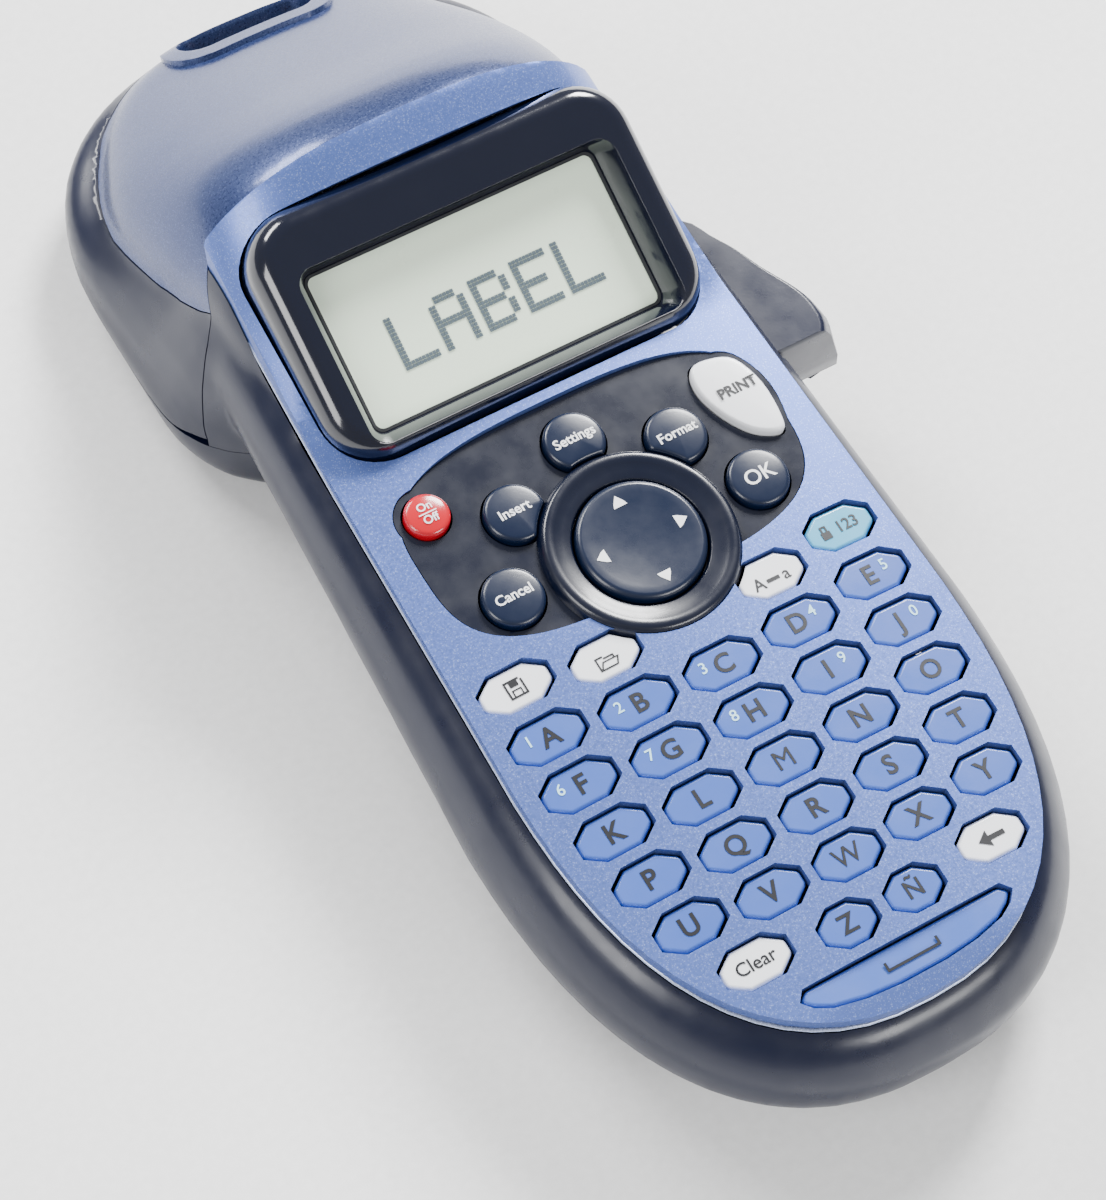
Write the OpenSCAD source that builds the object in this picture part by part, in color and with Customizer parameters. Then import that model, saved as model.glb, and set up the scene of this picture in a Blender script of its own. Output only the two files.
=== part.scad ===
// Handheld label maker with a letter keypad, a tilted display, a hinged head cover and a cutter lever.
// Everything is drawn in the keypad's own frame, then seated on its back: +X right, +Y to the head, +Z up.

/* [Face and grip] */
// Width of the faceplate at its widest place
face_w = 76; // [75:0.5:92]
// How much narrower each side gets per millimetre towards the head
face_taper = 0.033; // [0:0.001:0.06]
// Distance between two rows of letter keys
row_pitch = 8.7; // [7.4:0.1:10.5]
// Length of the round bottom end of the face
end_l = 54.6; // [45:0.2:66]
// How far the casing swells out beyond the faceplate
flare = 6.4; // [5.3:0.1:7.7]
// Height that the faceplate rises from its edges to its middle
crown = 1.7; // [1.4:0.1:2.1]

/* [Head] */
// Length from the middle of the round pad to the head's far end
head_l = 122; // [112:1:146]
// Height of the head's crown over the round pad
crown_h = 14.6; // [12.2:0.1:17.5]
// Depth of the head's back below the round pad
head_depth = 38; // [36:0.5:45.5]
// How far the head swells out beyond the faceplate
head_flare = 10.3; // [9:0.1:12]
// Width of the tape slot
slot_w = 25; // [21:0.5:30]
// Height of the tape slot
slot_h = 10; // [8.5:0.25:12]

/* [Display] */
// Width of the visible display
lcd_w = 51.6; // [43:0.5:56]
// Height of the visible display along its slope
lcd_h = 26.3; // [22:0.1:30]
// Slope of the display
lcd_tilt = 20; // [17:0.5:24]
// Depth of the display below the rim of its frame
lcd_sink = 4.5; // [3.8:0.1:5.4]

/* [Keys] */
// Gap between two neighbouring keys along a row
key_gap = 2.4; // [2:0.1:2.9]
// Depth of one key along the keypad
key_d = 6.5; // [5.6:0.1:7.2]
// Height that a key stands over the faceplate
key_rise = 1.4; // [1.2:0.1:1.7]
// Travel of a key
key_travel = 1; // [0.8:0.1:1.2]
// Clearance between a key and its opening
key_fit = 0.3; // [0.25:0.01:0.36]
// Radius of the round recess that holds the four-way pad
pad_recess_r = 14; // [12:0.1:15]
// Radius of the small round buttons
round_r = 4.9; // [4:0.1:5.4]

/* [Walls and power] */
// Wall thickness of the casings
wall = 2; // [1.7:0.1:2.4]
// Thickness of the circuit board
board_t = 1.6; // [1.3:0.1:1.9]
// Diameter of one battery cell
cell_d = 14.5; // [12.1:0.1:15.5]
// Length of one battery cell
cell_l = 50.5; // [42:0.5:54]

/* [Printing] */
// Width of the tape
tape_w = 12; // [10:0.5:14]
// Radius of the platen roller
platen_r = 3.2; // [2.7:0.1:3.8]
// Size of one gear tooth, as pitch diameter per tooth
gear_module = 0.6; // [0.5:0.01:0.65]
// Teeth of the platen gear
platen_teeth = 24; // [22:2:28]
// Teeth of the motor pinion
pinion_teeth = 8; // [8:1:10]
// Radius of the moulded pivots and shafts
pivot_r = 1.5; // [1.25:0.05:1.8]
// Radial clearance of every turning fit
run_fit = 0.05; // [0.04:0.01:0.06]

/* [Hidden] */
LETTERS = ["a", "b", "c", "d", "e", "f", "g", "h", "i", "j", "k", "l", "m",
           "n", "o", "p", "q", "r", "s", "t", "u", "v", "w", "x", "y"];
$fn = 48;
// a cut runs this far past the face that it opens
eps = 0.5;
// outline points of a quarter of a round end
quarter = 8;
// thickness of the outlines that a casing's shape is stretched over
sheet = 0.05;

// colours
navy = [0.05, 0.09, 0.2];
blue = [0.42, 0.52, 0.8];
key_blue = [0.33, 0.48, 0.78];
white = [0.95, 0.95, 0.95];
cyan = [0.45, 0.75, 0.88];
dark = [0.08, 0.14, 0.25];
steel = [0.7, 0.72, 0.74];

// face outline
half_w = face_w / 2;
// the middle column's first row clears the pad recess by 5.6 mm
first_row_y = -(pad_recess_r + 5.8 + key_d / 2);
last_row_y = first_row_y - 5 * row_pitch;
// the space bar and its margins take the last 15 mm of the face
bottom_y = last_row_y - 15;
wide_y = bottom_y + end_l;
// rows bend upwards towards the sides
row_bow = 0.0028;
edge_margin = 1.9;
col_pitch = (face_w - 2 * edge_margin) / 5;
key_w = col_pitch - key_gap;

// heights in the keypad frame, where 0 is the rim of the pad recess
face_z = -2.65;
edge_z = face_z - crown;
plate_t = 2;
flange_t = 1;
flange_lip = 0.9;
flange_gap = 0.45;
mat_t = 1.2;
mat_top = edge_z - plate_t - key_fit - flange_t - key_travel - 0.2;
board_top = mat_top - mat_t;
board_bottom = board_top - board_t;
bay_roof = board_bottom - 0.4;
bay_roof_t = 1.2;
cell_z = bay_roof - bay_roof_t - 0.2 - cell_d / 2;
door_t = 1.7;
door_top = cell_z - cell_d / 2 - 0.3;
grip_back = door_top - door_t;
// the casings part here along the grip
part_z = edge_z - 13;

// head
seam_y = 73.5;
head_part_z = -head_depth + 7;
head_back = -head_depth;
tray_t = 1.5;
tray_top = head_part_z + 3;
hinge_y = head_l - 1;
hinge_z = head_part_z - 1.5;

// seat on the back: the head's back and the grip's lower end touch the table
rest_head_y = 88;
rest_grip_y = bottom_y + 20;
seat_angle = atan((-head_back + grip_back) / (rest_head_y - rest_grip_y));
seat_y = rest_head_y * cos(seat_angle) - head_back * sin(seat_angle);
seat_z = -(rest_head_y * sin(seat_angle) + head_back * cos(seat_angle));

// display frame
lcd_y = 46.8;
lcd_z = 2.45;

// ---------- shared shapes ----------

function crown_z(x) = face_z - crown * pow(x / half_w, 2);

// half width of a rounded bar from y0 to y1 that is w wide at both inner ends
function end_w(w, t, n) = w * pow(max(0, 1 - pow(t, n)), 1 / n);

// outline with a round lower end and a round upper end; positive grow makes it larger
function body_outline(w_low, w_high, y_low, y_mid, y_turn, y_high, grow = 0, n_high = 2.4) =
    let (right = concat(
        [for (i = [0 : quarter]) let (a = 90 * i / quarter)
            [end_w(w_low + grow, cos(a), 2.4), y_mid - (y_mid - y_low + grow) * cos(a)]],
        [for (i = [0 : quarter]) let (a = 90 * i / quarter)
            [end_w(w_high + grow, sin(a), n_high), y_turn + (y_high - y_turn + grow) * sin(a)]]))
    concat(right, [for (i = [len(right) - 2 : -1 : 1]) [-right[i][0], right[i][1]]]);

module slice(z, points) translate([0, 0, z]) linear_extrude(sheet) polygon(points);

// rounded rectangle with its own lower and upper ends
function round_rect(hw, y0, y1, r) =
    [for (c = [[hw - r, y0 + r, -90], [hw - r, y1 - r, 0], [r - hw, y1 - r, 90], [r - hw, y0 + r, 180]])
        each [for (a = [c[2] : 15 : c[2] + 90]) [c[0] + r * cos(a), c[1] + r * sin(a)]]];

function face_half(y) = half_w - face_taper * (y - wide_y);
head_half = face_half(seam_y) + head_flare;

// lays children on the plane that the object rests on, through one place of its back
module on_rest(y, z) translate([0, y, z]) rotate([-seat_angle, 0, 0]) children();

// outline of the face, with its sides running straight on past the seam
function face_points(grow = 0) =
    body_outline(half_w, face_half(seam_y + 12), bottom_y, wide_y, seam_y + 12, head_l - 8, grow);

// arched section across the body at one y
module arch(y, w, top, side, low, grow = 0, sharp = 2.6)
    translate([0, y, 0]) rotate([90, 0, 0]) linear_extrude(sheet) polygon(concat(
        [for (i = [-8 : 8]) let (a = 90 * i / 8)
            [(w + grow) * sin(a),
             side + (top + grow - side) * pow(max(0, 1 - pow(abs(sin(a)), sharp)), 1 / 2)]],
        [[w + grow, low], [-w - grow, low]]));

// the grip: face at the top, swollen below its edge, narrower at the back
module grip_blob(grow = 0) {
    neck_y = 58;
    neck_w = face_half(neck_y);
    hull() {
        for (y = [wide_y - 0.9 * end_l, wide_y - 0.6 * end_l, wide_y, neck_y - 10])
            translate([0, y, 0]) rotate([90, 0, 0]) linear_extrude(sheet) polygon(
                [for (i = [-6 : 6]) let (w = min(face_half(y), end_w(half_w,
                    max(0, (wide_y - y) / end_l), 2.4)), x = w * i / 6) [x, crown_z(x) + grow]]);
        slice(edge_z + grow, body_outline(half_w, neck_w, bottom_y, wide_y, neck_y, neck_y + 12,
            min(grow, 0)));
        slice(edge_z - 4, body_outline(half_w + 0.65 * flare, neck_w + 0.6 * flare,
            bottom_y - 0.7 * flare, wide_y, neck_y, neck_y + 12, grow));
        slice(edge_z - 9, body_outline(half_w + flare, neck_w + flare - 1.5,
            bottom_y - flare - 0.6, wide_y, neck_y, neck_y + 12, grow));
        slice(part_z - 1, body_outline(half_w + flare, neck_w + flare - 2.2,
            bottom_y - flare - 0.3, wide_y, neck_y - 14, neck_y - 2, grow));
        slice(grip_back + 5 - grow, body_outline(half_w + 1.5, neck_w - 1, bottom_y + 1,
            wide_y, neck_y - 26, neck_y - 14, grow));
        slice(grip_back - grow, body_outline(half_w - 6, neck_w - 4.5, rest_grip_y,
            wide_y, neck_y - 32, neck_y - 18, grow));
        on_rest(rest_grip_y, grip_back - grow)
            linear_extrude(sheet) square([face_w - 30, 10], center = true);
    }
}

// the head: a dome that falls towards its far end, wide and flat at the back
module head_blob(grow = 0) {
    side_w = face_half(seam_y);
    hull() {
        arch(30, side_w + 1, face_z, edge_z - 2, edge_z - 8, grow);
        arch(seam_y, side_w + 0.4, crown_h, edge_z - 2, head_part_z, grow);
        arch(seam_y + 9, side_w, crown_h - 4.2, edge_z - 5, head_part_z, grow);
        arch(seam_y + 20, side_w - 1, crown_h - 14, -14, head_part_z, grow);
        arch(head_l - 12, side_w - 5, -13.5, -24, head_part_z, grow);
        for (z = [head_part_z + 4, head_part_z - 1])
            slice(z, body_outline(head_half - 2, head_half, 40, 62, 76, head_l, grow, 3));
        on_rest(rest_head_y, head_back - grow) linear_extrude(sheet) translate([0, -rest_head_y])
            polygon(body_outline(head_half - 10, head_half - 8, 50, 68, 76, head_l - 7, grow, 3));
    }
}

module body_blob(grow = 0) {
    grip_blob(grow);
    head_blob(grow);
}

// side-view region, drawn as y and z, through the whole width
module region(points, w = 140)
    rotate([90, 0, 90]) translate([0, 0, -w / 2]) linear_extrude(w) polygon(points);

// the seam runs down the crown, then leans back over the side of the neck
seam = [[seam_y + 0.5, 40], [seam_y, 4], [seam_y - 7.5, edge_z], [seam_y - 18.5, head_part_z + 5.5]];
// the line where the front and rear casings part, from the bottom end to the head's far end
parting = [[bottom_y - 20, part_z], [36, part_z], [45, part_z - 3.5], [seam_y - 18.5, head_part_z + 5.5],
           [seam_y + 4, head_part_z], [head_l + 20, head_part_z]];

module above_parting(gap = 0)
    region(concat([for (p = parting) [p[0], p[1] + gap]], [[head_l + 20, 60], [bottom_y - 20, 60]]));
module below_parting()
    region(concat(parting, [[head_l + 20, -90], [bottom_y - 20, -90]]));
module behind_seam(gap = 0)
    region(concat([for (p = seam) [p[0] + gap, p[1]]], [[seam_y + 4 + gap, head_part_z],
        [seam_y - 10 + gap, head_part_z - 30], [head_l + 30, head_part_z - 30], [head_l + 30, 40]]));

// ---------- casings ----------

// stands everything on the table: drawn in the keypad frame, seated on its back
module seated() translate([0, -seat_y, seat_z]) rotate([seat_angle, 0, 0]) children();

// places children in the display's own slope, with 0 at the display's surface
module on_display() translate([0, lcd_y, lcd_z]) rotate([lcd_tilt, 0, 0]) children();

frame_hw = lcd_w / 2 + 7.6;
frame_low = -lcd_h / 2 - 4.4;
frame_high = lcd_h / 2 + 10.6;

frame_skirt = -8;

// room for the display under its frame
module display_pocket() translate([0, 0, frame_skirt - eps]) linear_extrude(eps - frame_skirt)
    polygon(round_rect(lcd_w / 2 + 3, -lcd_h / 2 - 3, lcd_h / 2 + 3, 1));

module frame_outline(grow, z0, z1)
    translate([0, 0, z0]) linear_extrude(z1 - z0)
        polygon(round_rect(frame_hw + grow, frame_low - grow, frame_high + grow, 9 + grow));

// glossy frame that rises round the display
module display_frame() {
    window_hw = lcd_w / 2;
    rim_spread = 2.3;
    difference() {
        union() {
            hull() {
                frame_outline(0, -5, 0.5);
                frame_outline(-2.6, lcd_sink - 0.6, lcd_sink);
            }
            frame_outline(-0.5, frame_skirt, -4);
        }
        hull() {
            translate([0, 0, -0.01]) linear_extrude(0.02)
                polygon(round_rect(window_hw, -lcd_h / 2, lcd_h / 2, 1.5));
            translate([0, 0, lcd_sink]) linear_extrude(0.3) polygon(round_rect(
                window_hw + rim_spread, -lcd_h / 2 - rim_spread, lcd_h / 2 + 0.6, 3));
        }
        display_pocket();
    }
}

panel_hw = half_w - 6.2;
panel_z = face_z + 0.75;
panel_bottom = edge_z - plate_t - 1.8;
function panel_points(grow = 0) = [for (a = [0 : 7.5 : 352.5])
    let (c = cos(a), s = sin(a), k = 2 / 3.2, up = (s > 0 ? 16.3 : 18.5) + grow)
    [(panel_hw + grow) * sign(c) * pow(abs(c), k), 11 + up * sign(s) * pow(abs(s), k)]];
pad_lip = 1.3;

module panel_outline(grow = 0) {
    polygon(panel_points(grow));
    circle(pad_recess_r + pad_lip + grow);
    power_shape(flange_lip + key_fit + 0.2 + grow);
    print_shape(flange_lip + key_fit + 0.2 + grow);
}

// every button on the panel: place and outline
side_x = pad_recess_r + pad_lip + round_r + 1.7;
ring_r = pad_recess_r + round_r + 0.5;
side_turn = 48;
power_r = 3.6;

module bitten_round(grow) difference() {
    circle(round_r + grow);
    translate([0, -ring_r]) circle(pad_recess_r + pad_lip + 0.5 - grow);
}
module on_ring(turn) rotate(turn) translate([0, ring_r]) children();
module settings_shape(grow = 0) on_ring(0) bitten_round(grow);
module insert_shape(grow = 0) on_ring(side_turn) bitten_round(grow);
module format_shape(grow = 0) on_ring(-side_turn) bitten_round(grow);
module cancel_shape(grow = 0) translate([-side_x, 1]) circle(round_r + grow);
module ok_shape(grow = 0) translate([side_x, 1]) circle(round_r + grow);
module power_shape(grow = 0) translate([5.4 - panel_hw, 18.8]) circle(power_r + grow);
module print_shape(grow = 0) translate([panel_hw - 4.8, 14.6]) polygon(
    [for (p = [[-4.4, 7.2], [-0.8, 7.4], [2.6, 5.6], [4.3, 0], [3.8, -6.6], [2.4, -8.4],
               [-1.4, -6.3], [-4.2, -1.8], [-5.5, 3.2]])
        let (d = norm(p)) p * (d + grow) / d]);
module pad_shape(grow = 0) circle(pad_recess_r - 3.9 + grow);
module panel_button_shapes(grow) {
    settings_shape(grow);
    insert_shape(grow);
    format_shape(grow);
    cancel_shape(grow);
    ok_shape(grow);
    power_shape(grow);
    print_shape(grow);
}

// dark glossy panel with its button openings, a step wider below for their flanges
module button_panel() difference() {
    union() {
        translate([0, 0, panel_bottom]) linear_extrude(panel_z - panel_bottom) panel_outline();
        translate([0, 0, panel_z - 0.1]) linear_extrude(-panel_z)
            circle(pad_recess_r + pad_lip);
    }
    translate([0, 0, panel_z - 0.9]) linear_extrude(4) circle(pad_recess_r);
    translate([0, 0, panel_bottom - eps]) linear_extrude(20) {
        panel_button_shapes(key_fit);
        pad_shape(key_fit);
    }
    translate([0, 0, panel_bottom - eps]) linear_extrude(panel_z - plate_t - panel_bottom + eps) {
        panel_button_shapes(flange_lip + key_fit);
        pad_shape(flange_lip + key_fit);
    }
}

// ---------- places of the inner pieces ----------

bay_x = 2 * cell_d + 0.9;
bay_y0 = -32;
bay_y1 = bay_y0 + cell_l + 5;
platen_y = head_l - 22.5;
platen_x = 5;
motor_r = 5.5;
tape_x = platen_x - platen_r;
motor_gap = (platen_teeth + pinion_teeth) / 2 * gear_module;
blade_y = head_l - 13.8;
tape_z0 = tray_top + 0.3;
tape_z1 = tape_z0 + tape_w;

lever_low = 20;
lever_high = 50;
lever_top = edge_z - 2.6;
lever_bottom = grip_back + 3;
pivot_x = head_half - 12.5;
pivot_y = 58;
crank_l = 30;
crank_t = 1.4;
slider_t = 1.6;
slider_z = tray_top - tray_t - 0.3 - slider_t;
crank_z = slider_z - 0.2 - crank_t;
// room that the lever needs in the side of the casings
module lever_room() translate([bay_x + 1.7, lever_low - 0.8, lever_bottom - 0.6])
    cube([40, lever_high - lever_low + 3, lever_top - lever_bottom + 1.2]);

hinge_x = 13;
hinge_r = 2.6;
pin_r = pivot_r - 0.3;

post_r = 2.6;
screw_r = 1.3;
screw_head_r = 2.5;
screw_fit = 0.1;
screw_head_t = 2;
screw_out = 0.9;
screw_low_z = part_z - 5;
upper_screw_y = 12;
// the posts stand outside the keys, in the swelling of the casing
screw_places = [[0, bottom_y - 0.4], [half_w + screw_out, wide_y], [-half_w - screw_out, wide_y],
                [face_half(upper_screw_y) + screw_out, upper_screw_y],
                [-face_half(upper_screw_y) - screw_out, upper_screw_y]];
module at_screws() for (p = screw_places) translate([p[0], p[1], 0]) children();

bulkhead_y = seam_y - 10.3;
bulkhead_t = 1.4;
bulkhead_top = edge_z - plate_t - 0.1;

module box_between(x0, y0, z0, x1, y1, z1)
    translate([x0, y0, z0]) cube([x1 - x0, y1 - y0, z1 - z0]);

module front_housing() color(navy) seated() {
    deck_top = edge_z - plate_t - 0.1;
    difference() {
        union() {
            // side walls between the faceplate's edge and the parting line
            difference() {
                intersection() {
                    body_blob();
                    above_parting();
                }
                body_blob(-wall);
                behind_seam(-0.2);
                translate([0, 0, -30]) linear_extrude(60) polygon(face_points(0.15));
            }
            // ledge under the faceplate's edge
            intersection() {
                translate([0, 0, panel_bottom]) linear_extrude(deck_top - panel_bottom)
                    difference() {
                        polygon(face_points(1.6));
                        polygon(face_points(-1.2));
                    }
                box_between(-60, bottom_y - 10, -30, 60, seam_y - 12, 30);
            }
            // deck under the buttons and the display
            translate([0, 0, panel_bottom]) linear_extrude(deck_top - panel_bottom)
                intersection() {
                    polygon(face_points(-1));
                    translate([-60, -12]) square([120, 46]);
                }
            button_panel();
            on_display() display_frame();
            // floor of the cassette bay
            translate([0, 0, tray_top - tray_t]) linear_extrude(tray_t) difference() {
                polygon(body_outline(head_half - 6, head_half - 3.6, 50, 66, 76, head_l - 10, 0, 3));
                translate([-60, 0]) square([120, bulkhead_y]);
                // the blade comes up past the end of the floor
                translate([tape_x - 8, blade_y - 1.5]) square([40, 30]);
            }
            // wall between the display and the cassette bay, held by the sides and the frame
            box_between(-face_half(bulkhead_y) + 3, bulkhead_y, tray_top - tray_t,
                face_half(bulkhead_y) - 3, bulkhead_y + bulkhead_t, bulkhead_top);
            box_between(-face_half(bulkhead_y) - 1, bulkhead_y, bulkhead_top - 1.4,
                face_half(bulkhead_y) + 1, bulkhead_y + bulkhead_t - 0.4, bulkhead_top);
            box_between(-10, bulkhead_y, bulkhead_top - 1, 10, bulkhead_y + bulkhead_t, lcd_z + 3.2);
            // screw posts down to the parting line
            at_screws() translate([0, 0, part_z + 0.1])
                cylinder(h = deck_top - part_z - 0.1, r = post_r);
        }
        // openings that go right through deck and panel
        translate([0, 0, panel_bottom - eps])
            linear_extrude(panel_z - plate_t - panel_bottom + eps)
                panel_button_shapes(flange_lip + key_fit);
        // the keys' flanges pass the ledge and the deck
        translate([0, 0, panel_bottom - eps]) linear_extrude(deck_top - panel_bottom + 2 * eps)
            all_key_shapes(flange_lip + key_fit);
        on_display() display_pocket();
        lever_room();
        at_screws() translate([0, 0, part_z - 1]) cylinder(h = 8, r = screw_r + screw_fit);
        translate([platen_x, platen_y, tray_top - 5]) cylinder(h = 20, r = pivot_r + run_fit);
    }
}

module faceplate() color(blue) seated() difference() {
    intersection() {
        body_blob();
        translate([0, 0, -30]) linear_extrude(60) polygon(face_points());
        box_between(-60, bottom_y - 10, edge_z - plate_t, 60, seam_y + 5, 30);
    }
    behind_seam(-0.2);
    translate([0, 0, -plate_t]) body_blob();
    translate([0, 0, -30]) linear_extrude(60) panel_outline(0.15);
    on_display() frame_outline(0.2, -30, 30);
    translate([0, 0, -30]) linear_extrude(60) {
        all_key_shapes(key_fit);
    }
}

module display_panel() color([0.85, 0.93, 0.85]) seated() on_display()
    translate([0, 0, -3.6]) linear_extrude(3.5)
        polygon(round_rect(lcd_w / 2 + 2.8, -lcd_h / 2 - 2.8, lcd_h / 2 + 2.8, 1));

module rear_housing() color(navy) seated() {
    difference() {
        union() {
            difference() {
                intersection() {
                    body_blob();
                    below_parting();
                }
                body_blob(-wall);
                translate([-hinge_x - 5, hinge_y, hinge_z]) rotate([0, 90, 0])
                    cylinder(h = 2 * hinge_x + 10, r = hinge_r + 0.4);
            }
            // walls and roof of the battery bay
            translate([0, 0, door_top]) linear_extrude(bay_roof - door_top) difference() {
                translate([-bay_x - 1.5, bay_y0 - 1.5]) square([2 * bay_x + 3, bay_y1 - bay_y0 + 3]);
                translate([-bay_x, bay_y0]) square([2 * bay_x, bay_y1 - bay_y0]);
            }
            box_between(-bay_x - 1, bay_y0 - 1, bay_roof - bay_roof_t,
                bay_x + 1, bay_y1 + 1, bay_roof);
            intersection() {
                at_screws() translate([0, 0, screw_low_z - 4])
                    cylinder(h = part_z - screw_low_z + 4, r = screw_head_r + 1.1);
                grip_blob(-0.2);
            }
            // outer lugs of the cover's hinge
            for (side = [-1, 1]) translate([side * (hinge_x - 1.9), 0, 0]) {
                translate([-1.9, hinge_y, hinge_z]) rotate([0, 90, 0])
                    cylinder(h = 3.8, r = hinge_r);
                box_between(-1.9, hinge_y - 4.2, hinge_z - hinge_r, 1.9, hinge_y, hinge_z);
            }
        }
        // opening of the battery bay, and the seat of its door round it
        translate([-bay_x, bay_y0, grip_back - 5])
            cube([2 * bay_x, bay_y1 - bay_y0, bay_roof - bay_roof_t - grip_back + 5]);
        translate([0, 0, grip_back - 5]) linear_extrude(5 + door_t) door_outline(key_fit);
        lever_room();
        translate([-hinge_x - 5, hinge_y, hinge_z]) rotate([0, 90, 0])
            cylinder(h = 2 * hinge_x + 10, r = pin_r + run_fit);
        at_screws() {
            translate([0, 0, grip_back - 5]) cylinder(h = 40, r = screw_r + screw_fit);
            translate([0, 0, grip_back - 5])
                cylinder(h = screw_low_z + screw_head_t - grip_back + 5, r = screw_head_r + screw_fit);
        }
    }
    // pin that the cutter lever turns on
    pin_base_z = head_back + (rest_head_y - pivot_y) * tan(seat_angle) + 0.8;
    translate([pivot_x, pivot_y, pin_base_z])
        cylinder(h = lever_bottom + 5.5 - pin_base_z, r = pivot_r);
}

module door_outline(grow = 0)
    polygon(round_rect(bay_x + 1.2 + grow, bay_y0 - 7 - grow, bay_y1 + 1.2 + grow, 3));

module battery_door() color(navy) seated() difference() {
    translate([0, 0, grip_back]) linear_extrude(door_t) door_outline();
    // thumb grip
    for (i = [0 : 3]) translate([-8, bay_y0 - 5 + 2 * i, grip_back - 0.4]) cube([16, 0.9, 0.9]);
}

module battery_cells() color([0.75, 0.55, 0.2]) seated()
    for (i = [-1.5 : 1.5]) translate([i * (cell_d + 0.3), bay_y0 + 4.2, cell_z])
        rotate([-90, 0, 0]) {
            cylinder(h = cell_l - 1.2, r = cell_d / 2);
            cylinder(h = cell_l, r = 2.7);
        }

module battery_contacts() color(steel) seated()
    for (i = [-1.5 : 1.5]) translate([i * (cell_d + 0.3), 0, cell_z]) {
        translate([0, bay_y0 + 0.1, 0]) rotate([-90, 0, 0]) {
            cylinder(h = 0.5, r = 4.5);
            cylinder(h = 4, r = 3);
        }
        translate([-4.5, bay_y1 - 0.6, -4.5]) cube([9, 0.5, 9]);
    }

module mat_outline() polygon(body_outline(half_w - 7.4, half_w - 7.4, bottom_y + 6, wide_y, 16, 26));

module keypad_mat() color([0.75, 0.78, 0.8]) seated()
    translate([0, 0, board_top + 0.02]) linear_extrude(mat_t) mat_outline();

module circuit_board() color([0.1, 0.4, 0.2]) seated() {
    translate([0, 0, board_bottom]) linear_extrude(board_t) {
        mat_outline();
        translate([-16, 15]) square([32, 15.5]);
    }
    // display connector behind the battery bay
    box_between(-12, bay_y1 + 2.2, board_bottom - 2.6, 12, bay_y1 + 5.6, board_bottom);
}

module housing_screws() color(steel) seated() at_screws() {
    translate([0, 0, screw_low_z]) cylinder(h = part_z + 5 - screw_low_z, r = screw_r);
    translate([0, 0, screw_low_z]) cylinder(h = screw_head_t - 0.05, r = screw_head_r);
}

// ---------- head ----------

slot_tilt = 59;
module on_slot() translate([0, head_l - 7, -23]) rotate([-slot_tilt, 0, 0]) children();
module slot_shape(w, h) hull() for (side = [-1, 1])
    translate([side * (w - h) / 2, 0]) circle(h / 2);

module head_cover() color(blue) seated() {
    difference() {
        union() {
            difference() {
                intersection() {
                    head_blob();
                    above_parting(0.15);
                    behind_seam(0.25);
                }
                head_blob(-wall);
                // room for the hinge's outer lugs
                for (side = [-1, 1]) translate([side * (hinge_x - 1.9) - 2.3, hinge_y, hinge_z])
                    rotate([0, 90, 0]) cylinder(h = 4.6, r = hinge_r + 0.5);
            }
            // collar round the tape slot
            intersection() {
                head_blob(0.8);
                on_slot() translate([0, -1, -2.5]) linear_extrude(9.5)
                    scale([1, 0.46]) circle(slot_w / 2 + 4.2);
                above_parting(0.15);
            }
            // barrel of the hinge, on a tongue under the far end
            translate([-hinge_x + 4.2, hinge_y, hinge_z]) rotate([0, 90, 0])
                cylinder(h = 2 * hinge_x - 8.4, r = hinge_r - 0.2);
            box_between(-hinge_x + 4.2, hinge_y - 1.4, hinge_z, hinge_x - 4.2, hinge_y + 0.6,
                head_part_z + 1.2);
            translate([-hinge_x, hinge_y, hinge_z]) rotate([0, 90, 0])
                cylinder(h = 2 * hinge_x, r = pin_r);
        }
        on_slot() translate([0, 0, -12]) linear_extrude(30) slot_shape(slot_w, slot_h);
        lever_room();
    }
}

module tape_cassette() color([0.85, 0.85, 0.87]) seated() {
    x1 = 29;
    y0 = bulkhead_y + bulkhead_t + 0.5;
    y1 = head_l - 25;
    z0 = tray_top + 0.1;
    notch_x = [tape_x - 11.5, platen_x + motor_gap + motor_r + 3.2];
    notch_y = platen_y - gear_module * platen_teeth / 2 - 1.4;
    difference() {
        translate([0, 0, z0]) linear_extrude(tape_w + 3) difference() {
            polygon(round_rect(x1, y0, y1, 6));
            translate([notch_x[0], notch_y]) square([notch_x[1] - notch_x[0], 60]);
        }
        // window over the tape spool
        translate([-10, (y0 + notch_y) / 2, z0 + 1.5]) cylinder(h = 20, r = 11);
    }
    // spool
    translate([-10, (y0 + notch_y) / 2, z0 + 1]) cylinder(h = tape_w, r = 9.5);
}

// outline of a spur gear with straight-flanked teeth; turn is counted in teeth
module gear_shape(teeth, turn = 0) {
    r = teeth * gear_module / 2;
    step = 360 / teeth;
    polygon([for (i = [0 : teeth - 1]) each [for (p = [[r - 1.15 * gear_module, -0.3],
        [r + 0.8 * gear_module, -0.1], [r + 0.8 * gear_module, 0.1], [r - 1.15 * gear_module, 0.3]])
        let (a = (i + turn + p[1]) * step) [p[0] * cos(a), p[0] * sin(a)]]]);
}

gear_h = 1.6;
gear_z = tray_top + 0.2;
roller_z = gear_z + gear_h;
head_top = tape_z1 + 0.6;

module platen_roller() color([0.15, 0.15, 0.16]) seated() translate([platen_x, platen_y, 0]) {
    translate([0, 0, gear_z]) linear_extrude(gear_h) gear_shape(platen_teeth);
    translate([0, 0, roller_z]) cylinder(h = head_top - 0.4 - roller_z, r = platen_r);
    translate([0, 0, tray_top - tray_t]) cylinder(h = head_top + 1.6 - tray_top + tray_t, r = pivot_r);
}

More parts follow.
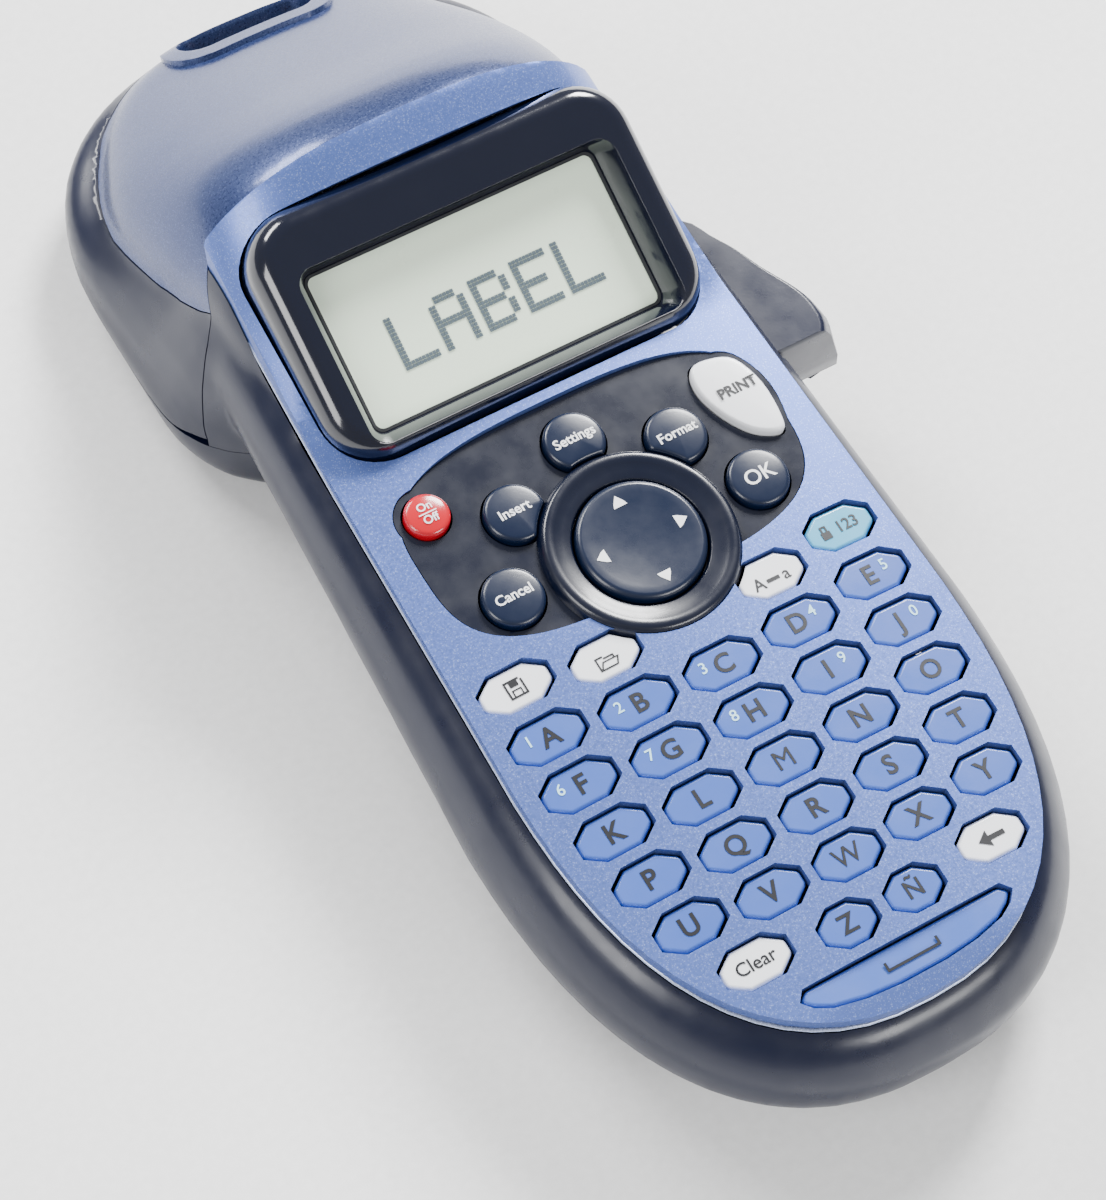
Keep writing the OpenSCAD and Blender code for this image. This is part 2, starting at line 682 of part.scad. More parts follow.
// printing head on its bracket, with the upper bearing of the platen and the anvil of the cutter
module print_head() color(steel) seated() difference() {
    union() {
        low = roller_z + 0.2;
        box_between(tape_x - 5.5, platen_y - 4, low, tape_x - 0.2, platen_y + 3.5, head_top + 1.5);
        box_between(tape_x - 5.5, platen_y - 3, head_top, platen_x + 3, platen_y + 3, head_top + 1.5);
        // foot beside the gear
        box_between(tape_x - 10, platen_y - 6.5, tray_top, tape_x - 5.4, platen_y - 1, low + 3);
    }
    translate([platen_x, platen_y, tray_top - 5]) cylinder(h = 40, r = pivot_r + run_fit);
}

motor_z = gear_z + gear_h + 0.4;
module at_motor() translate([platen_x + motor_gap, platen_y, 0]) children();

module drive_motor() color(steel) seated() difference() {
    union() {
        at_motor() translate([0, 0, motor_z]) cylinder(h = tape_z1 - 3 - motor_z, r = motor_r);
        // mounting foot beside the gears
        at_motor() box_between(pinion_teeth * gear_module, -3.5, tray_top, motor_r + 2, 3.5, motor_z + 2);
    }
    at_motor() translate([0, 0, motor_z - 1]) cylinder(h = 5, r = 1 + run_fit);
}

module drive_pinion() color([0.8, 0.7, 0.4]) seated() at_motor() {
    translate([0, 0, gear_z]) linear_extrude(gear_h) gear_shape(pinion_teeth, 0.5);
    translate([0, 0, gear_z]) cylinder(h = gear_h + 3.5, r = 1);
}

// squeeze lever: paddle in the side window, web, hub on the pin and crank under the cassette floor
module cutter_lever() color(navy) seated() difference() {
    union() {
        hull() {
            slice(lever_top, lever_points(0, 0));
            slice(lever_bottom + 4, lever_points(5.6, 0));
            slice(lever_bottom, lever_points(3.6, 1.5));
        }
        box_between(pivot_x - 2.6, lever_high - 8, lever_bottom + 1.4, pivot_x + 2.6, pivot_y,
            lever_bottom + 5);
        box_between(pivot_x - 2.6, lever_high - 8, lever_bottom + 1.4, head_half - 6, lever_high - 2,
            lever_bottom + 5);
        translate([pivot_x, pivot_y, crank_z]) cylinder(h = lever_bottom + 5 - crank_z, r = pivot_r + 2);
        translate([pivot_x - 2, pivot_y, crank_z]) cube([4, crank_l, crank_t]);
        translate([pivot_x, pivot_y + crank_l, crank_z]) {
            cylinder(h = crank_t, r = 2);
            cylinder(h = crank_t + 0.2 + slider_t, r = pivot_r);
        }
    }
    translate([pivot_x, pivot_y, crank_z - 1]) cylinder(h = 40, r = pivot_r + run_fit);
}

lever_in = -8.8;
function lever_points(out, trim) = [for (p = [[lever_in, 0.4], [3.6, 0.4], [4.7, 3.2], [4.1, 8],
    [0.6, 15], [-1.6, 20], [-3.7, 23.5], [-5.5, 27], [lever_in, 29.6]])
    [head_half + p[0] + (p[0] > lever_in ? out * (30 - p[1]) / 30 : 0),
     lever_low + p[1] + (p[1] < 1 ? trim : 0)]];

// carriage under the cassette floor, driven by the crank, with the upright blade
module cutter_blade() color(steel) seated() {
    slot_fit = pivot_r + run_fit;
    translate([0, 0, slider_z]) linear_extrude(slider_t) difference() {
        union() {
            translate([pivot_x - 5, pivot_y + crank_l - 5.5]) square([9, 11]);
            translate([pivot_x - 12, pivot_y + crank_l - 3]) square([8, 6]);
            translate([pivot_x - 14, pivot_y + crank_l - 3]) square([6, blade_y - pivot_y - crank_l + 4]);
            translate([tape_x - 4.4, blade_y - 1]) square([pivot_x - 9 - tape_x, 3]);
        }
        translate([pivot_x - slot_fit, pivot_y + crank_l - 3.5]) square([2 * slot_fit, 7]);
    }
    translate([tape_x - 4.4, blade_y - 1, slider_z])
        cube([1.9, 0.8, tape_z1 - slider_z - 1.5]);
}

// ---------- keys ----------

// long eight-sided key outline
function key_points(w, d, grow = 0) = let (x = w / 2 + grow, y = d / 2 + grow, cx = 3, cy = 2.1)
    [[-x, -y + cy], [-x + cx, -y], [x - cx, -y], [x, -y + cy],
     [x, y - cy], [x - cx, y], [-x + cx, y], [-x, y - cy]];

function column_x(row, column) = column * col_pitch * (1 - 0.006 * row * row);
function bow_y(row, x) = first_row_y - row * row_pitch + row_bow * x * x;

function letter_place(i) = let (row = floor(i / 5), x = column_x(row, i % 5 - 2)) [x, bow_y(row, x)];
function letter_w(i) = key_w * (1 - 0.006 * pow(floor(i / 5), 2));
side_row_y = 0.5;
small_w = key_w - 2.8;
// name, place and width of the keys that carry no letter of the block
function named_place(name) =
    name == "save_key" ? [-2 * col_pitch, bow_y(-1, 2 * col_pitch) + side_row_y]
    : name == "number_key" ? [2 * col_pitch, bow_y(-1, 2 * col_pitch) + side_row_y]
    : name == "recall_key" ? [-col_pitch - 0.3, bow_y(-1, col_pitch)]
    : name == "case_key" ? [col_pitch + 0.3, bow_y(-1, col_pitch)]
    : name == "clear_key" ? [-1.44 * col_pitch, bow_y(5, 1.44 * col_pitch)]
    : name == "back_key" ? [1.44 * col_pitch, bow_y(5, 1.44 * col_pitch)]
    : name == "key_z" ? [-small_w / 2 - key_gap / 2, last_row_y - 0.3]
    : [small_w / 2 + key_gap / 2, last_row_y - 0.3];
function named_w(name) =
    name == "key_z" || name == "key_n_tilde" ? small_w
    : name == "clear_key" || name == "back_key" ? key_w - 0.8
    : name == "recall_key" || name == "case_key" ? key_w - 0.9 : key_w - 0.4;
NAMED = ["save_key", "recall_key", "case_key", "number_key", "clear_key", "back_key", "key_z",
         "key_n_tilde"];

module key_shape(place, w, grow = 0) difference() {
    translate(place) polygon(key_points(w, key_d, grow));
    circle(pad_recess_r + pad_lip + 0.9 - grow);
}

// the space bar follows the face's lower edge
space_hw = 18;
module space_shape(grow = 0) {
    low = bottom_y + 3.4;
    high = last_row_y - 5.9;
    polygon([for (p = [[-space_hw + 1, high, -1, 1], [space_hw - 1, high, 1, 1],
        [space_hw + 0.4, high - 1.3, 1, 0], [space_hw - 1, low + 3.1, 1, -1], [11, low + 0.9, 0, -1],
        [0, low, 0, -1], [-11, low + 0.9, 0, -1], [1 - space_hw, low + 3.1, -1, -1],
        [-space_hw - 0.4, high - 1.3, -1, 0]]) [p[0] + grow * p[2], p[1] + grow * p[3]]]);
}

module all_key_shapes(grow) {
    for (i = [0 : 24]) key_shape(letter_place(i), letter_w(i), grow);
    for (n = NAMED) key_shape(named_place(n), named_w(n), grow);
    space_shape(grow);
}

// a key: cap through the faceplate, and a wider flange that stops under it
module key_body(x, half, top) {
    plate_low = crown_z(abs(x) + half + flange_lip) - plate_t;
    flange_top = plate_low - flange_gap;
    translate([0, 0, flange_top - flange_t]) linear_extrude(top - flange_top + flange_t) children(0);
    translate([0, 0, flange_top - flange_t]) linear_extrude(flange_t) children(1);
}

module key_at(place, w) key_body(place[0], w / 2, crown_z(place[0]) + key_rise) {
    key_shape(place, w);
    key_shape(place, w, flange_lip);
}

module letter_key(i) color(key_blue) seated() key_at(letter_place(i), letter_w(i));
module named_key(name, paint) color(paint) seated() key_at(named_place(name), named_w(name));

module save_key() named_key("save_key", white);
module recall_key() named_key("recall_key", white);
module case_key() named_key("case_key", white);
module number_key() named_key("number_key", cyan);
module clear_key() named_key("clear_key", white);
module back_key() named_key("back_key", white);
module key_z() named_key("key_z", key_blue);
module key_n_tilde() named_key("key_n_tilde", key_blue);
module space_key() color(key_blue) seated()
    key_body(0, space_hw, crown_z(0) + key_rise) {
        space_shape();
        space_shape(flange_lip);
    }

// a panel button: cap through the panel, flange under its top
button_flange_z = panel_z - plate_t - 0.1;
module button_body(top) {
    translate([0, 0, button_flange_z - flange_t])
        linear_extrude(top - button_flange_z + flange_t) children(0);
    translate([0, 0, button_flange_z - flange_t]) linear_extrude(flange_t) children(1);
}
button_top = panel_z + 1.5;

module power_button() color("crimson") seated() button_body(button_top) {
    power_shape();
    power_shape(flange_lip);
}
module insert_button() color(dark) seated() button_body(button_top) {
    insert_shape();
    insert_shape(flange_lip);
}
module settings_button() color(dark) seated() button_body(button_top) {
    settings_shape();
    settings_shape(flange_lip);
}
module format_button() color(dark) seated() button_body(button_top) {
    format_shape();
    format_shape(flange_lip);
}
module cancel_button() color(dark) seated() button_body(button_top) {
    cancel_shape();
    cancel_shape(flange_lip);
}
module ok_button() color(dark) seated() button_body(button_top) {
    ok_shape();
    ok_shape(flange_lip);
}
module print_button() color(white) seated() button_body(button_top) {
    print_shape();
    print_shape(flange_lip);
}
module nav_pad() color(dark) seated() button_body(0.9) {
    pad_shape();
    pad_shape(flange_lip);
}

rear_housing();
front_housing();
faceplate();
display_panel();
head_cover();
battery_door();
battery_cells();
battery_contacts();
keypad_mat();
circuit_board();
cutter_lever();
cutter_blade();
platen_roller();
print_head();
drive_motor();
drive_pinion();
tape_cassette();
housing_screws();
nav_pad();
power_button();
insert_button();
settings_button();
format_button();
cancel_button();
ok_button();
print_button();
save_key();
recall_key();
case_key();
number_key();
clear_key();
back_key();
space_key();
key_z();
key_n_tilde();
for (i = [0 : 24]) letter_key(i);
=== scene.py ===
import math
import bmesh
import bpy
from mathutils import Matrix, Vector
from mathutils.kdtree import KDTree


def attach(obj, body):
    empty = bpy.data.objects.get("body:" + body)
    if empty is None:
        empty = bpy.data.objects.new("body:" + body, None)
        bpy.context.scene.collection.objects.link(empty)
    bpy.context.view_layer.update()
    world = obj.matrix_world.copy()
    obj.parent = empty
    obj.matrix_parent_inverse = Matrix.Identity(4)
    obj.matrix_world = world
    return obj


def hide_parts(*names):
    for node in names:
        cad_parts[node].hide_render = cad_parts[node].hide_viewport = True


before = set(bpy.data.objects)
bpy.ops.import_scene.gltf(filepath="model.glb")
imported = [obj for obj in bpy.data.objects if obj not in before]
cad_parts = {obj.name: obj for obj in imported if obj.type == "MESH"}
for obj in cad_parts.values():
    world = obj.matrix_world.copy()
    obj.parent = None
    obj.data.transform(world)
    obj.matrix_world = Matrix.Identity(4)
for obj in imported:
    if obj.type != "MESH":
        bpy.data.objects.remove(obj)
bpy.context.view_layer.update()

# Everything is modelled in the keypad's own frame in millimetres (x right, y to the head, z out of
# the face, 0 in the middle of the round pad) and seated in the CAD frame as it is finished.
seat = {"angle": 0.0537763, "y": 89.9153, "z": 33.2150}
seatMatrix = (Matrix.Scale(0.001, 4) @ Matrix.Translation((0, -seat["y"], seat["z"]))
              @ Matrix.Rotation(seat["angle"], 4, "X"))


# modelling helpers

def deselectAll():
    if bpy.context.object and bpy.context.object.mode != "OBJECT":
        bpy.ops.object.mode_set(mode="OBJECT")
    bpy.ops.object.select_all(action="DESELECT")


def pick(piece):
    deselectAll()
    piece.select_set(True)
    bpy.context.view_layer.objects.active = piece
    return piece


def newest(name):
    piece = bpy.context.object
    piece.name = name
    piece.data.name = name
    return piece


def inEdit(piece, work):
    # runs operators on the whole of a piece in edit mode
    pick(piece)
    bpy.ops.object.mode_set(mode="EDIT")
    bpy.ops.mesh.select_all(action="SELECT")
    work()
    bpy.ops.object.mode_set(mode="OBJECT")


def outward(piece):
    inEdit(piece, lambda: (bpy.ops.mesh.remove_doubles(threshold=0.001),
                           bpy.ops.mesh.normals_make_consistent(inside=False)))
    return piece


def loft(name, rings):
    # a circle is laid on the first ring, and its face is extruded from ring to ring
    deselectAll()
    bpy.ops.mesh.primitive_circle_add(vertices=len(rings[0]), radius=1, fill_type="NGON")
    piece = newest(name)
    for vertex, place in zip(piece.data.vertices, rings[0]):
        vertex.co = place
    bpy.ops.object.mode_set(mode="EDIT")
    bpy.ops.mesh.select_all(action="SELECT")
    for before, ring in zip(rings, rings[1:]):
        bpy.ops.mesh.extrude_region_move()
        cage = bmesh.from_edit_mesh(piece.data)
        tree = KDTree(len(before))
        for i, place in enumerate(before):
            tree.insert(place, i)
        tree.balance()
        for vertex in [v for v in cage.verts if v.select]:
            vertex.co = ring[tree.find(vertex.co)[1]]
        bmesh.update_edit_mesh(piece.data)
    bpy.ops.object.mode_set(mode="OBJECT")
    return outward(piece)


def sideways(name, points, half=70):
    # a block with the given outline in the side view (y, z)
    return loft(name, [[(x, y, z) for y, z in points] for x in (-half, half)])


def upright(name, points, low, high):
    # a block with the given outline in plan (x, y)
    return loft(name, [[(x, y, z) for x, y in points] for z in (low, high)])


def shape(piece, kind, **settings):
    pick(piece)
    step = piece.modifiers.new("shape", kind)
    for key, value in settings.items():
        setattr(step, key, value)
    bpy.ops.object.modifier_apply(modifier=step.name)
    return piece


def carve(piece, cutter, operation="DIFFERENCE", keep=False, solver="EXACT"):
    shape(piece, "BOOLEAN", object=cutter, operation=operation, solver=solver)
    if not keep:
        bpy.data.objects.remove(cutter)
    return piece


def copyOf(piece, name):
    pick(piece)
    bpy.ops.object.duplicate(linked=False)
    return newest(name)


def joined(name, pieces):
    deselectAll()
    for piece in pieces:
        piece.select_set(True)
    bpy.context.view_layer.objects.active = pieces[0]
    if len(pieces) > 1:
        bpy.ops.object.join()
    return newest(name)


def bevelled(piece, width, segments=3, angle=40):
    return shape(piece, "BEVEL", width=width, segments=segments, limit_method="ANGLE",
                 angle_limit=math.radians(angle), miter_outer="MITER_ARC")


def smooth(piece, angle=38):
    pick(piece)
    bpy.ops.object.shade_smooth_by_angle(angle=math.radians(angle))
    return piece


def finished(piece, body, material, replaced=(), seated=True, angle=38):
    if seated:
        piece.data.transform(seatMatrix)
    smooth(piece, angle)
    shape(piece, "WEIGHTED_NORMAL", keep_sharp=True)
    if material:
        piece.data.materials.clear()
        piece.data.materials.append(material)
    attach(piece, body)
    if replaced:
        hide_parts(*replaced)
    return piece


def mix(a, b, t):
    return a + (b - a) * t


def curveThrough(table, at):
    # a smooth line through rows of (position, value, value...), read at one position
    rows = sorted(table)
    at = min(max(at, rows[0][0]), rows[-1][0])
    i = max(k for k in range(len(rows) - 1) if rows[k][0] <= at)
    a, b = rows[i], rows[i + 1]
    before, after = rows[max(i - 1, 0)], rows[min(i + 2, len(rows) - 1)]
    t = (at - a[0]) / (b[0] - a[0])
    out = []
    for k in range(1, len(a)):
        slope = (b[k] - a[k]) / (b[0] - a[0])
        left = (b[k] - before[k]) / (b[0] - before[0])
        right = (after[k] - a[k]) / (after[0] - a[0])
        if (a[k] - before[k]) * slope <= 0 and i > 0:
            left = 0
        if (after[k] - b[k]) * slope <= 0 and i < len(rows) - 2:
            right = 0
        width = b[0] - a[0]
        out.append(mix(a[k], b[k], t * t * (3 - 2 * t)) + width * (
            t * (1 - t) ** 2 * left - t * t * (1 - t) * right))
    return out


# shader helpers

def tone(red, green, blue):
    # a colour from 0 to 255, made linear
    return tuple(((c / 255 + 0.055) / 1.055) ** 2.4 if c > 10 else c / 3294.6
                 for c in (red, green, blue)) + (1,)


class Value:
    # one shader socket that can be calculated with
    def __init__(self, maker, socket):
        self.maker, self.socket = maker, socket

    def calc(self, operation, *others):
        return self.maker.add("ShaderNodeMath", {"operation": operation},
                              dict(enumerate([self, *others])))

    def __add__(self, other): return self.calc("ADD", other)
    def __radd__(self, other): return self.calc("ADD", other)
    def __mul__(self, other): return self.calc("MULTIPLY", other)
    def __rmul__(self, other): return self.calc("MULTIPLY", other)
    def __sub__(self, other): return self.calc("SUBTRACT", other)
    def __rsub__(self, other): return self.maker.constant(other).calc("SUBTRACT", self)


class Finish:
    def __init__(self, name, **settings):
        self.material = bpy.data.materials.new(name)
        self.material.use_nodes = True
        self.tree = self.material.node_tree
        self.shader = self.tree.nodes["Principled BSDF"]
        self.place = self.add("ShaderNodeTexCoord", out="Object")
        for key, value in settings.items():
            self.set(key.replace("_", " "), value)

    def constant(self, number):
        node = self.tree.nodes.new("ShaderNodeMath")
        node.inputs[0].default_value = number
        node.inputs[1].default_value = 0
        return Value(self, node.outputs[0])

    def add(self, kind, settings=None, sockets=None, out=0):
        node = self.tree.nodes.new(kind)
        for key, value in (settings or {}).items():
            if key == "stops":
                for i, (spot, colour) in enumerate(value):
                    step = (node.color_ramp.elements[i] if i < 2
                            else node.color_ramp.elements.new(spot))
                    step.position, step.color = spot, colour
            else:
                setattr(node, key, value)
        for key, value in (sockets or {}).items():
            if isinstance(value, Value):
                self.tree.links.new(value.socket, node.inputs[key])
            else:
                node.inputs[key].default_value = value
        return Value(self, node.outputs[out])

    def set(self, key, value):
        if isinstance(value, Value):
            self.tree.links.new(value.socket, self.shader.inputs[key])
        else:
            self.shader.inputs[key].default_value = value
        return self

    def noise(self, scale, detail=3, rough=0.55):
        return self.add("ShaderNodeTexNoise", None,
                        {"Vector": self.place, "Scale": scale, "Detail": detail,
                         "Roughness": rough})

    def cells(self, scale):
        return self.add("ShaderNodeTexVoronoi", {"feature": "F1"},
                        {"Vector": self.place, "Scale": scale})

    def remap(self, value, low, high, newLow, newHigh):
        return self.add("ShaderNodeMapRange", None,
                        {"Value": value, "From Min": low, "From Max": high, "To Min": newLow,
                         "To Max": newHigh})

    def blend(self, factor, first, second):
        return self.add("ShaderNodeMix", {"data_type": "RGBA"},
                        {"Factor": factor, 6: first, 7: second}, out=2)

    def bump(self, height, strength, distance=0.0001):
        return self.set("Normal", self.add("ShaderNodeBump", None,
                        {"Height": height, "Strength": strength, "Distance": distance}))


def mouldedPlastic(name, colour, rough=0.4, grain=0.12, coat=0.0, spread=0.12, fine=2600):
    # moulded plastic: cloudy tint, faint spark-eroded grain, a little wear in the gloss
    f = Finish(name, Roughness=rough, Coat_Weight=coat, Coat_Roughness=0.12)
    dark = tuple(c * (1 - spread) for c in colour[:3]) + (1,)
    light = tuple(min(1, c * (1 + spread)) for c in colour[:3]) + (1,)
    f.set("Base Color", f.blend(f.noise(45, 4), dark, light))
    f.set("Roughness", f.remap(f.noise(160, 5), 0.3, 0.7, rough - 0.05, rough + 0.06))
    f.bump(f.noise(fine, 2), grain)
    return f.material


def metallicPaint(name, colour, glint, rough=0.36, metal=0.55):
    # pearly paint: flakes that vary in lightness over a cloudy base
    f = Finish(name, Roughness=rough, Metallic=metal, Coat_Weight=0.35, Coat_Roughness=0.16)
    flakes = f.remap(f.cells(3400), 0.05, 0.75, 1.0, 0.0)
    speck = f.noise(2400, 2)
    base = f.blend(f.noise(28, 3), tuple(c * 0.94 for c in colour[:3]) + (1,),
                   tuple(min(1, c * 1.06) for c in colour[:3]) + (1,))
    f.set("Base Color", f.blend(f.remap(flakes * speck, 0.25, 0.6, 0.0, 0.45), base, glint))
    f.set("Roughness", f.remap(speck, 0.3, 0.7, rough - 0.06, rough + 0.08))
    f.bump(speck, 0.05)
    return f.material


def brushedMetal(name, colour, rough=0.3):
    f = Finish(name, Roughness=rough, Metallic=1.0)
    lines = f.add("ShaderNodeTexNoise", None, {
        "Vector": f.add("ShaderNodeMapping", None, {"Vector": f.place, "Scale": (60, 3000, 60)}),
        "Scale": 1.0, "Detail": 4})
    f.set("Base Color", f.blend(lines, tuple(c * 0.75 for c in colour[:3]) + (1,), colour))
    f.set("Roughness", f.remap(lines, 0.3, 0.7, rough - 0.08, rough + 0.12))
    f.bump(lines, 0.1)
    return f.material


def inkFinish(name, colour, rough=0.45):
    f = Finish(name, Roughness=rough)
    f.set("Base Color", f.blend(f.noise(600, 3), tuple(c * 0.85 for c in colour[:3]) + (1,), colour))
    f.bump(f.noise(3000, 2), 0.05)
    return f.material


paint = {
    "navy": mouldedPlastic("navyPlastic", tone(6, 14, 40), rough=0.3, grain=0.06, coat=0.1,
                           spread=0.05),
    "inside": mouldedPlastic("innerPlastic", tone(18, 24, 40), rough=0.5, grain=0.2),
    "blue": metallicPaint("bluePearl", tone(88, 112, 184), tone(180, 200, 248)),
    "cover": metallicPaint("coverPearl", tone(46, 60, 104), tone(120, 138, 186), rough=0.3),
    # pale silver paint for the painted highlight line round the faceplate's edge
    "edgeHighlight": metallicPaint("edgeHighlightPaint", tone(170, 182, 214), tone(240, 244, 255), rough=0.25),
    "frame": mouldedPlastic("frameGloss", tone(4, 9, 28), rough=0.14, grain=0.01, coat=0.6,
                            spread=0.04),
    "panel": mouldedPlastic("panelGloss", tone(5, 12, 32), rough=0.28, grain=0.02, coat=0.2,
                            spread=0.04),
    "button": mouldedPlastic("buttonRubber", tone(7, 21, 46), rough=0.3, grain=0.03, coat=0.15,
                             spread=0.04),
    "blueKey": mouldedPlastic("keyBlue", tone(66, 98, 178), rough=0.32, grain=0.05, coat=0.2,
                              spread=0.04),
    "whiteKey": mouldedPlastic("keyWhite", tone(238, 240, 244), rough=0.28, grain=0.04, coat=0.3,
                               spread=0.03),
    "cyanKey": mouldedPlastic("keyCyan", tone(86, 170, 206), rough=0.26, grain=0.04, coat=0.4),
    "redKey": mouldedPlastic("keyRed", tone(190, 12, 34), rough=0.22, grain=0.03, coat=0.5),
    "floor": inkFinish("paleFloor", tone(250, 250, 250), rough=0.9),
    "ink": inkFinish("darkInk", tone(8, 10, 18)),
    "whiteInk": inkFinish("whiteInk", tone(246, 247, 250)),
    "cyanInk": inkFinish("cyanInk", tone(190, 240, 255)),
    "lcdInk": inkFinish("lcdInk", tone(84, 98, 108), rough=0.5),
    "lcd": mouldedPlastic("lcdGlass", tone(232, 248, 226), rough=0.3, grain=0.01, coat=0.3,
                          spread=0.02),
    "steel": brushedMetal("brushedSteel", tone(196, 200, 206)),
    "brass": brushedMetal("brassStrip", tone(150, 122, 78), rough=0.35),
    "cassette": mouldedPlastic("cassetteShell", tone(222, 226, 230), rough=0.3, spread=0.03),
    "rubber": mouldedPlastic("darkRubber", tone(40, 42, 46), rough=0.7, grain=0.3),
    "gear": mouldedPlastic("gearPlastic", tone(226, 216, 186), rough=0.4),
    "board": mouldedPlastic("boardLacquer", tone(28, 96, 60), rough=0.35, coat=0.3),
    "cell": mouldedPlastic("cellWrap", tone(196, 138, 60), rough=0.25, coat=0.5),
}
print("materials made")

# the body's form

face = {"halfWidth": 38, "taper": 0.033, "bottomY": -81.55, "wideY": -26.95,
        "topZ": -2.65, "crown": 1.7, "seamY": 73.5, "crownZ": 14.6, "liftY": 30}
head = {"y": 122, "part": -31}


def faceHalf(y):
    return face["halfWidth"] - face["taper"] * (y - face["wideY"])


def superEnd(width, t, power):
    return width * max(0, 1 - t ** power) ** (1 / power)


def bodyOutline(wLow, wHigh, yLow, yMid, yTurn, yHigh, power=2.4, quarter=16, between=8):
    right = []
    for i in range(quarter + 1):
        a = math.pi / 2 * i / quarter
        right.append((superEnd(wLow, math.cos(a), power), yMid - (yMid - yLow) * math.cos(a)))
    for i in range(1, between):
        right.append((mix(wLow, wHigh, i / between), mix(yMid, yTurn, i / between)))
    for i in range(quarter + 1):
        a = math.pi / 2 * i / quarter
        right.append((superEnd(wHigh, math.sin(a), power), yTurn + (yHigh - yTurn) * math.sin(a)))
    return right + [(-x, y) for x, y in right[-2:0:-1]]


def faceOutline(grow=0):
    top = face["seamY"] + 12
    return bodyOutline(face["halfWidth"] + grow, faceHalf(top) + grow, face["bottomY"] - grow,
                       face["wideY"], top, head["y"] - 8 + grow)


# height, half width low, half width at the neck, lower end, where it turns, upper end
gripLevels = [(-30.0, 31.5, 30.4, -62, 26, 40), (-29.2, 34.6, 32.4, -67, 27, 41),
              (-25.0, 39.6, 34.4, -80.4, 32, 44), (-18.4, 44.2, 39.2, -88.2, 44, 56),
              (-13.4, 44.4, 40.0, -88.6, 56, 68), (-8.6, 42.4, 39.0, -86.2, 58, 70),
              (-6.0, 40.4, 37.4, -84.0, 58, 70), (-4.3, 38.0, 35.4, -81.5, 58, 70),
              (-4.0, 36.0, 33.0, -79.5, 58, 68)]
# along the head: crown, half width and height where blue meets navy, widest half width, back
headStations = [(41, 1.7, 36, -5, 12, -31), (44, 2.9, 36, -5, 27, -33.3),
                (48, 4.5, 36, -5, 36, -35.3),
                (52, 6.1, 36, -5, 40.5, -36), (56, 7.7, 36.4, -5, 43, -36.2),
                (60, 9.3, 36.7, -5, 44.4, -36.4),
                (65, 11.3, 36.9, -5.2, 45, -36.7), (70, 13.3, 37.1, -8, 45, -37),
                (73.5, 14.4, 37.4, -11, 45, -37.2),
                (77, 13.6, 37.9, -13, 45, -37.4), (83, 10.0, 38.4, -16, 45, -37.7),
                (88, 5.8, 38.5, -18.4, 44.9, -38),
                (93.5, 0.8, 38.1, -20.8, 44.4, -38.3), (99, -4.0, 36.6, -22.3, 43.1, -38.6),
                (104, -8.3, 34.2, -23.2, 41.2, -38.8), (109, -12.6, 31.2, -23.9, 38.3, -39),
                (113, -16, 28, -24.3, 34.6, -39.1), (116.5, -18.8, 24, -24.6, 30, -38.6),
                (119, -20.8, 19.6, -24.8, 25, -37.4), (120.8, -22.4, 14.5, -25, 19, -35.8),
                (121.8, -23.8, 8, -25.5, 12, -33.5)]


def headRing(y):
    crown, edgeX, edgeZ, wide, back = curveThrough(headStations, y)
    right = []
    for i in range(15):
        a = math.pi / 2 * i / 14
        right.append((edgeX * math.sin(a),
                      edgeZ + (crown - edgeZ) * max(0, 1 - math.sin(a) ** 2.6) ** 0.5))
    low = head["part"]
    side = [(mix(edgeX, wide, 0.3), mix(edgeZ, low + 4, 0.2)),
            (mix(edgeX, wide, 0.62), mix(edgeZ, low + 4, 0.46)),
            (mix(edgeX, wide, 0.88), mix(edgeZ, low + 4, 0.75)), (wide, low + 3.4), (wide - 0.2, low),
            (wide * 0.965, mix(low, back, 0.45)), (wide * 0.885, mix(low, back, 0.82)),
            (wide * 0.78, back), (wide * 0.6, back), (wide * 0.3, back)]
    right += side
    ring = right + [(0, back)] + [(-x, z) for x, z in right[:0:-1]]
    return [(x, y, z) for x, z in ring]


def bodyForm():
    grip = []
    for i in range(23):
        z = mix(-30.0, -4.0, i / 22)
        wLow, wHigh, yLow, yTurn, yHigh = curveThrough(gripLevels, z)
        grip.append([(x, y, z) for x, y in bodyOutline(wLow, wHigh, yLow, face["wideY"], yTurn,
                                                       yHigh)])
    gripForm = loft("gripForm", grip)
    stops = [41, 44, 48, 52, 56, 60, 64, 68, 71, 73.5, 76, 79, 82, 85, 88, 91, 94, 97, 100, 103, 106,
             109, 111.5, 114, 116, 117.7, 119, 120, 120.8, 121.4, 121.8]
    headForm = loft("headForm", [headRing(y) for y in stops])
    form = carve(gripForm, headForm, "UNION")
    form = shape(form, "REMESH", mode="VOXEL", voxel_size=1.0)
    return shape(form, "SMOOTH", factor=0.5, iterations=9)


def hollow(form, wall):
    # the form with a second skin inside it, a wall's thickness in
    inner = copyOf(form, "innerForm")
    shape(inner, "DISPLACE", strength=-wall, mid_level=0)
    shape(inner, "SMOOTH", factor=0.5, iterations=4)
    inEdit(inner, bpy.ops.mesh.flip_normals)
    return joined("hollowForm", [form, inner])


def seamLine(gap=0):
    # down the crown, then leaning back over the side of the neck
    return [(y + gap, z) for y, z in ((74.2, 40), (74, 16), (73.2, 4), (71.2, 0.2), (68, -2.8),
                                      (65.6, -5.2),
                                      (63, -8.6), (60, -14), (57.4, -19.5), (55.4, -24))]


def partLine(shift=0):
    return [(y, z + shift) for y, z in ((-100, -17.35), (30, -17.35), (38, -17.9), (45, -20.6),
                                        (50, -23),
                                        (55, -25.3), (62, -27.6), (70, -29.8), (78, -31), (150, -31))]


def upTo(line, y):
    return [p for p in line if p[0] <= y]


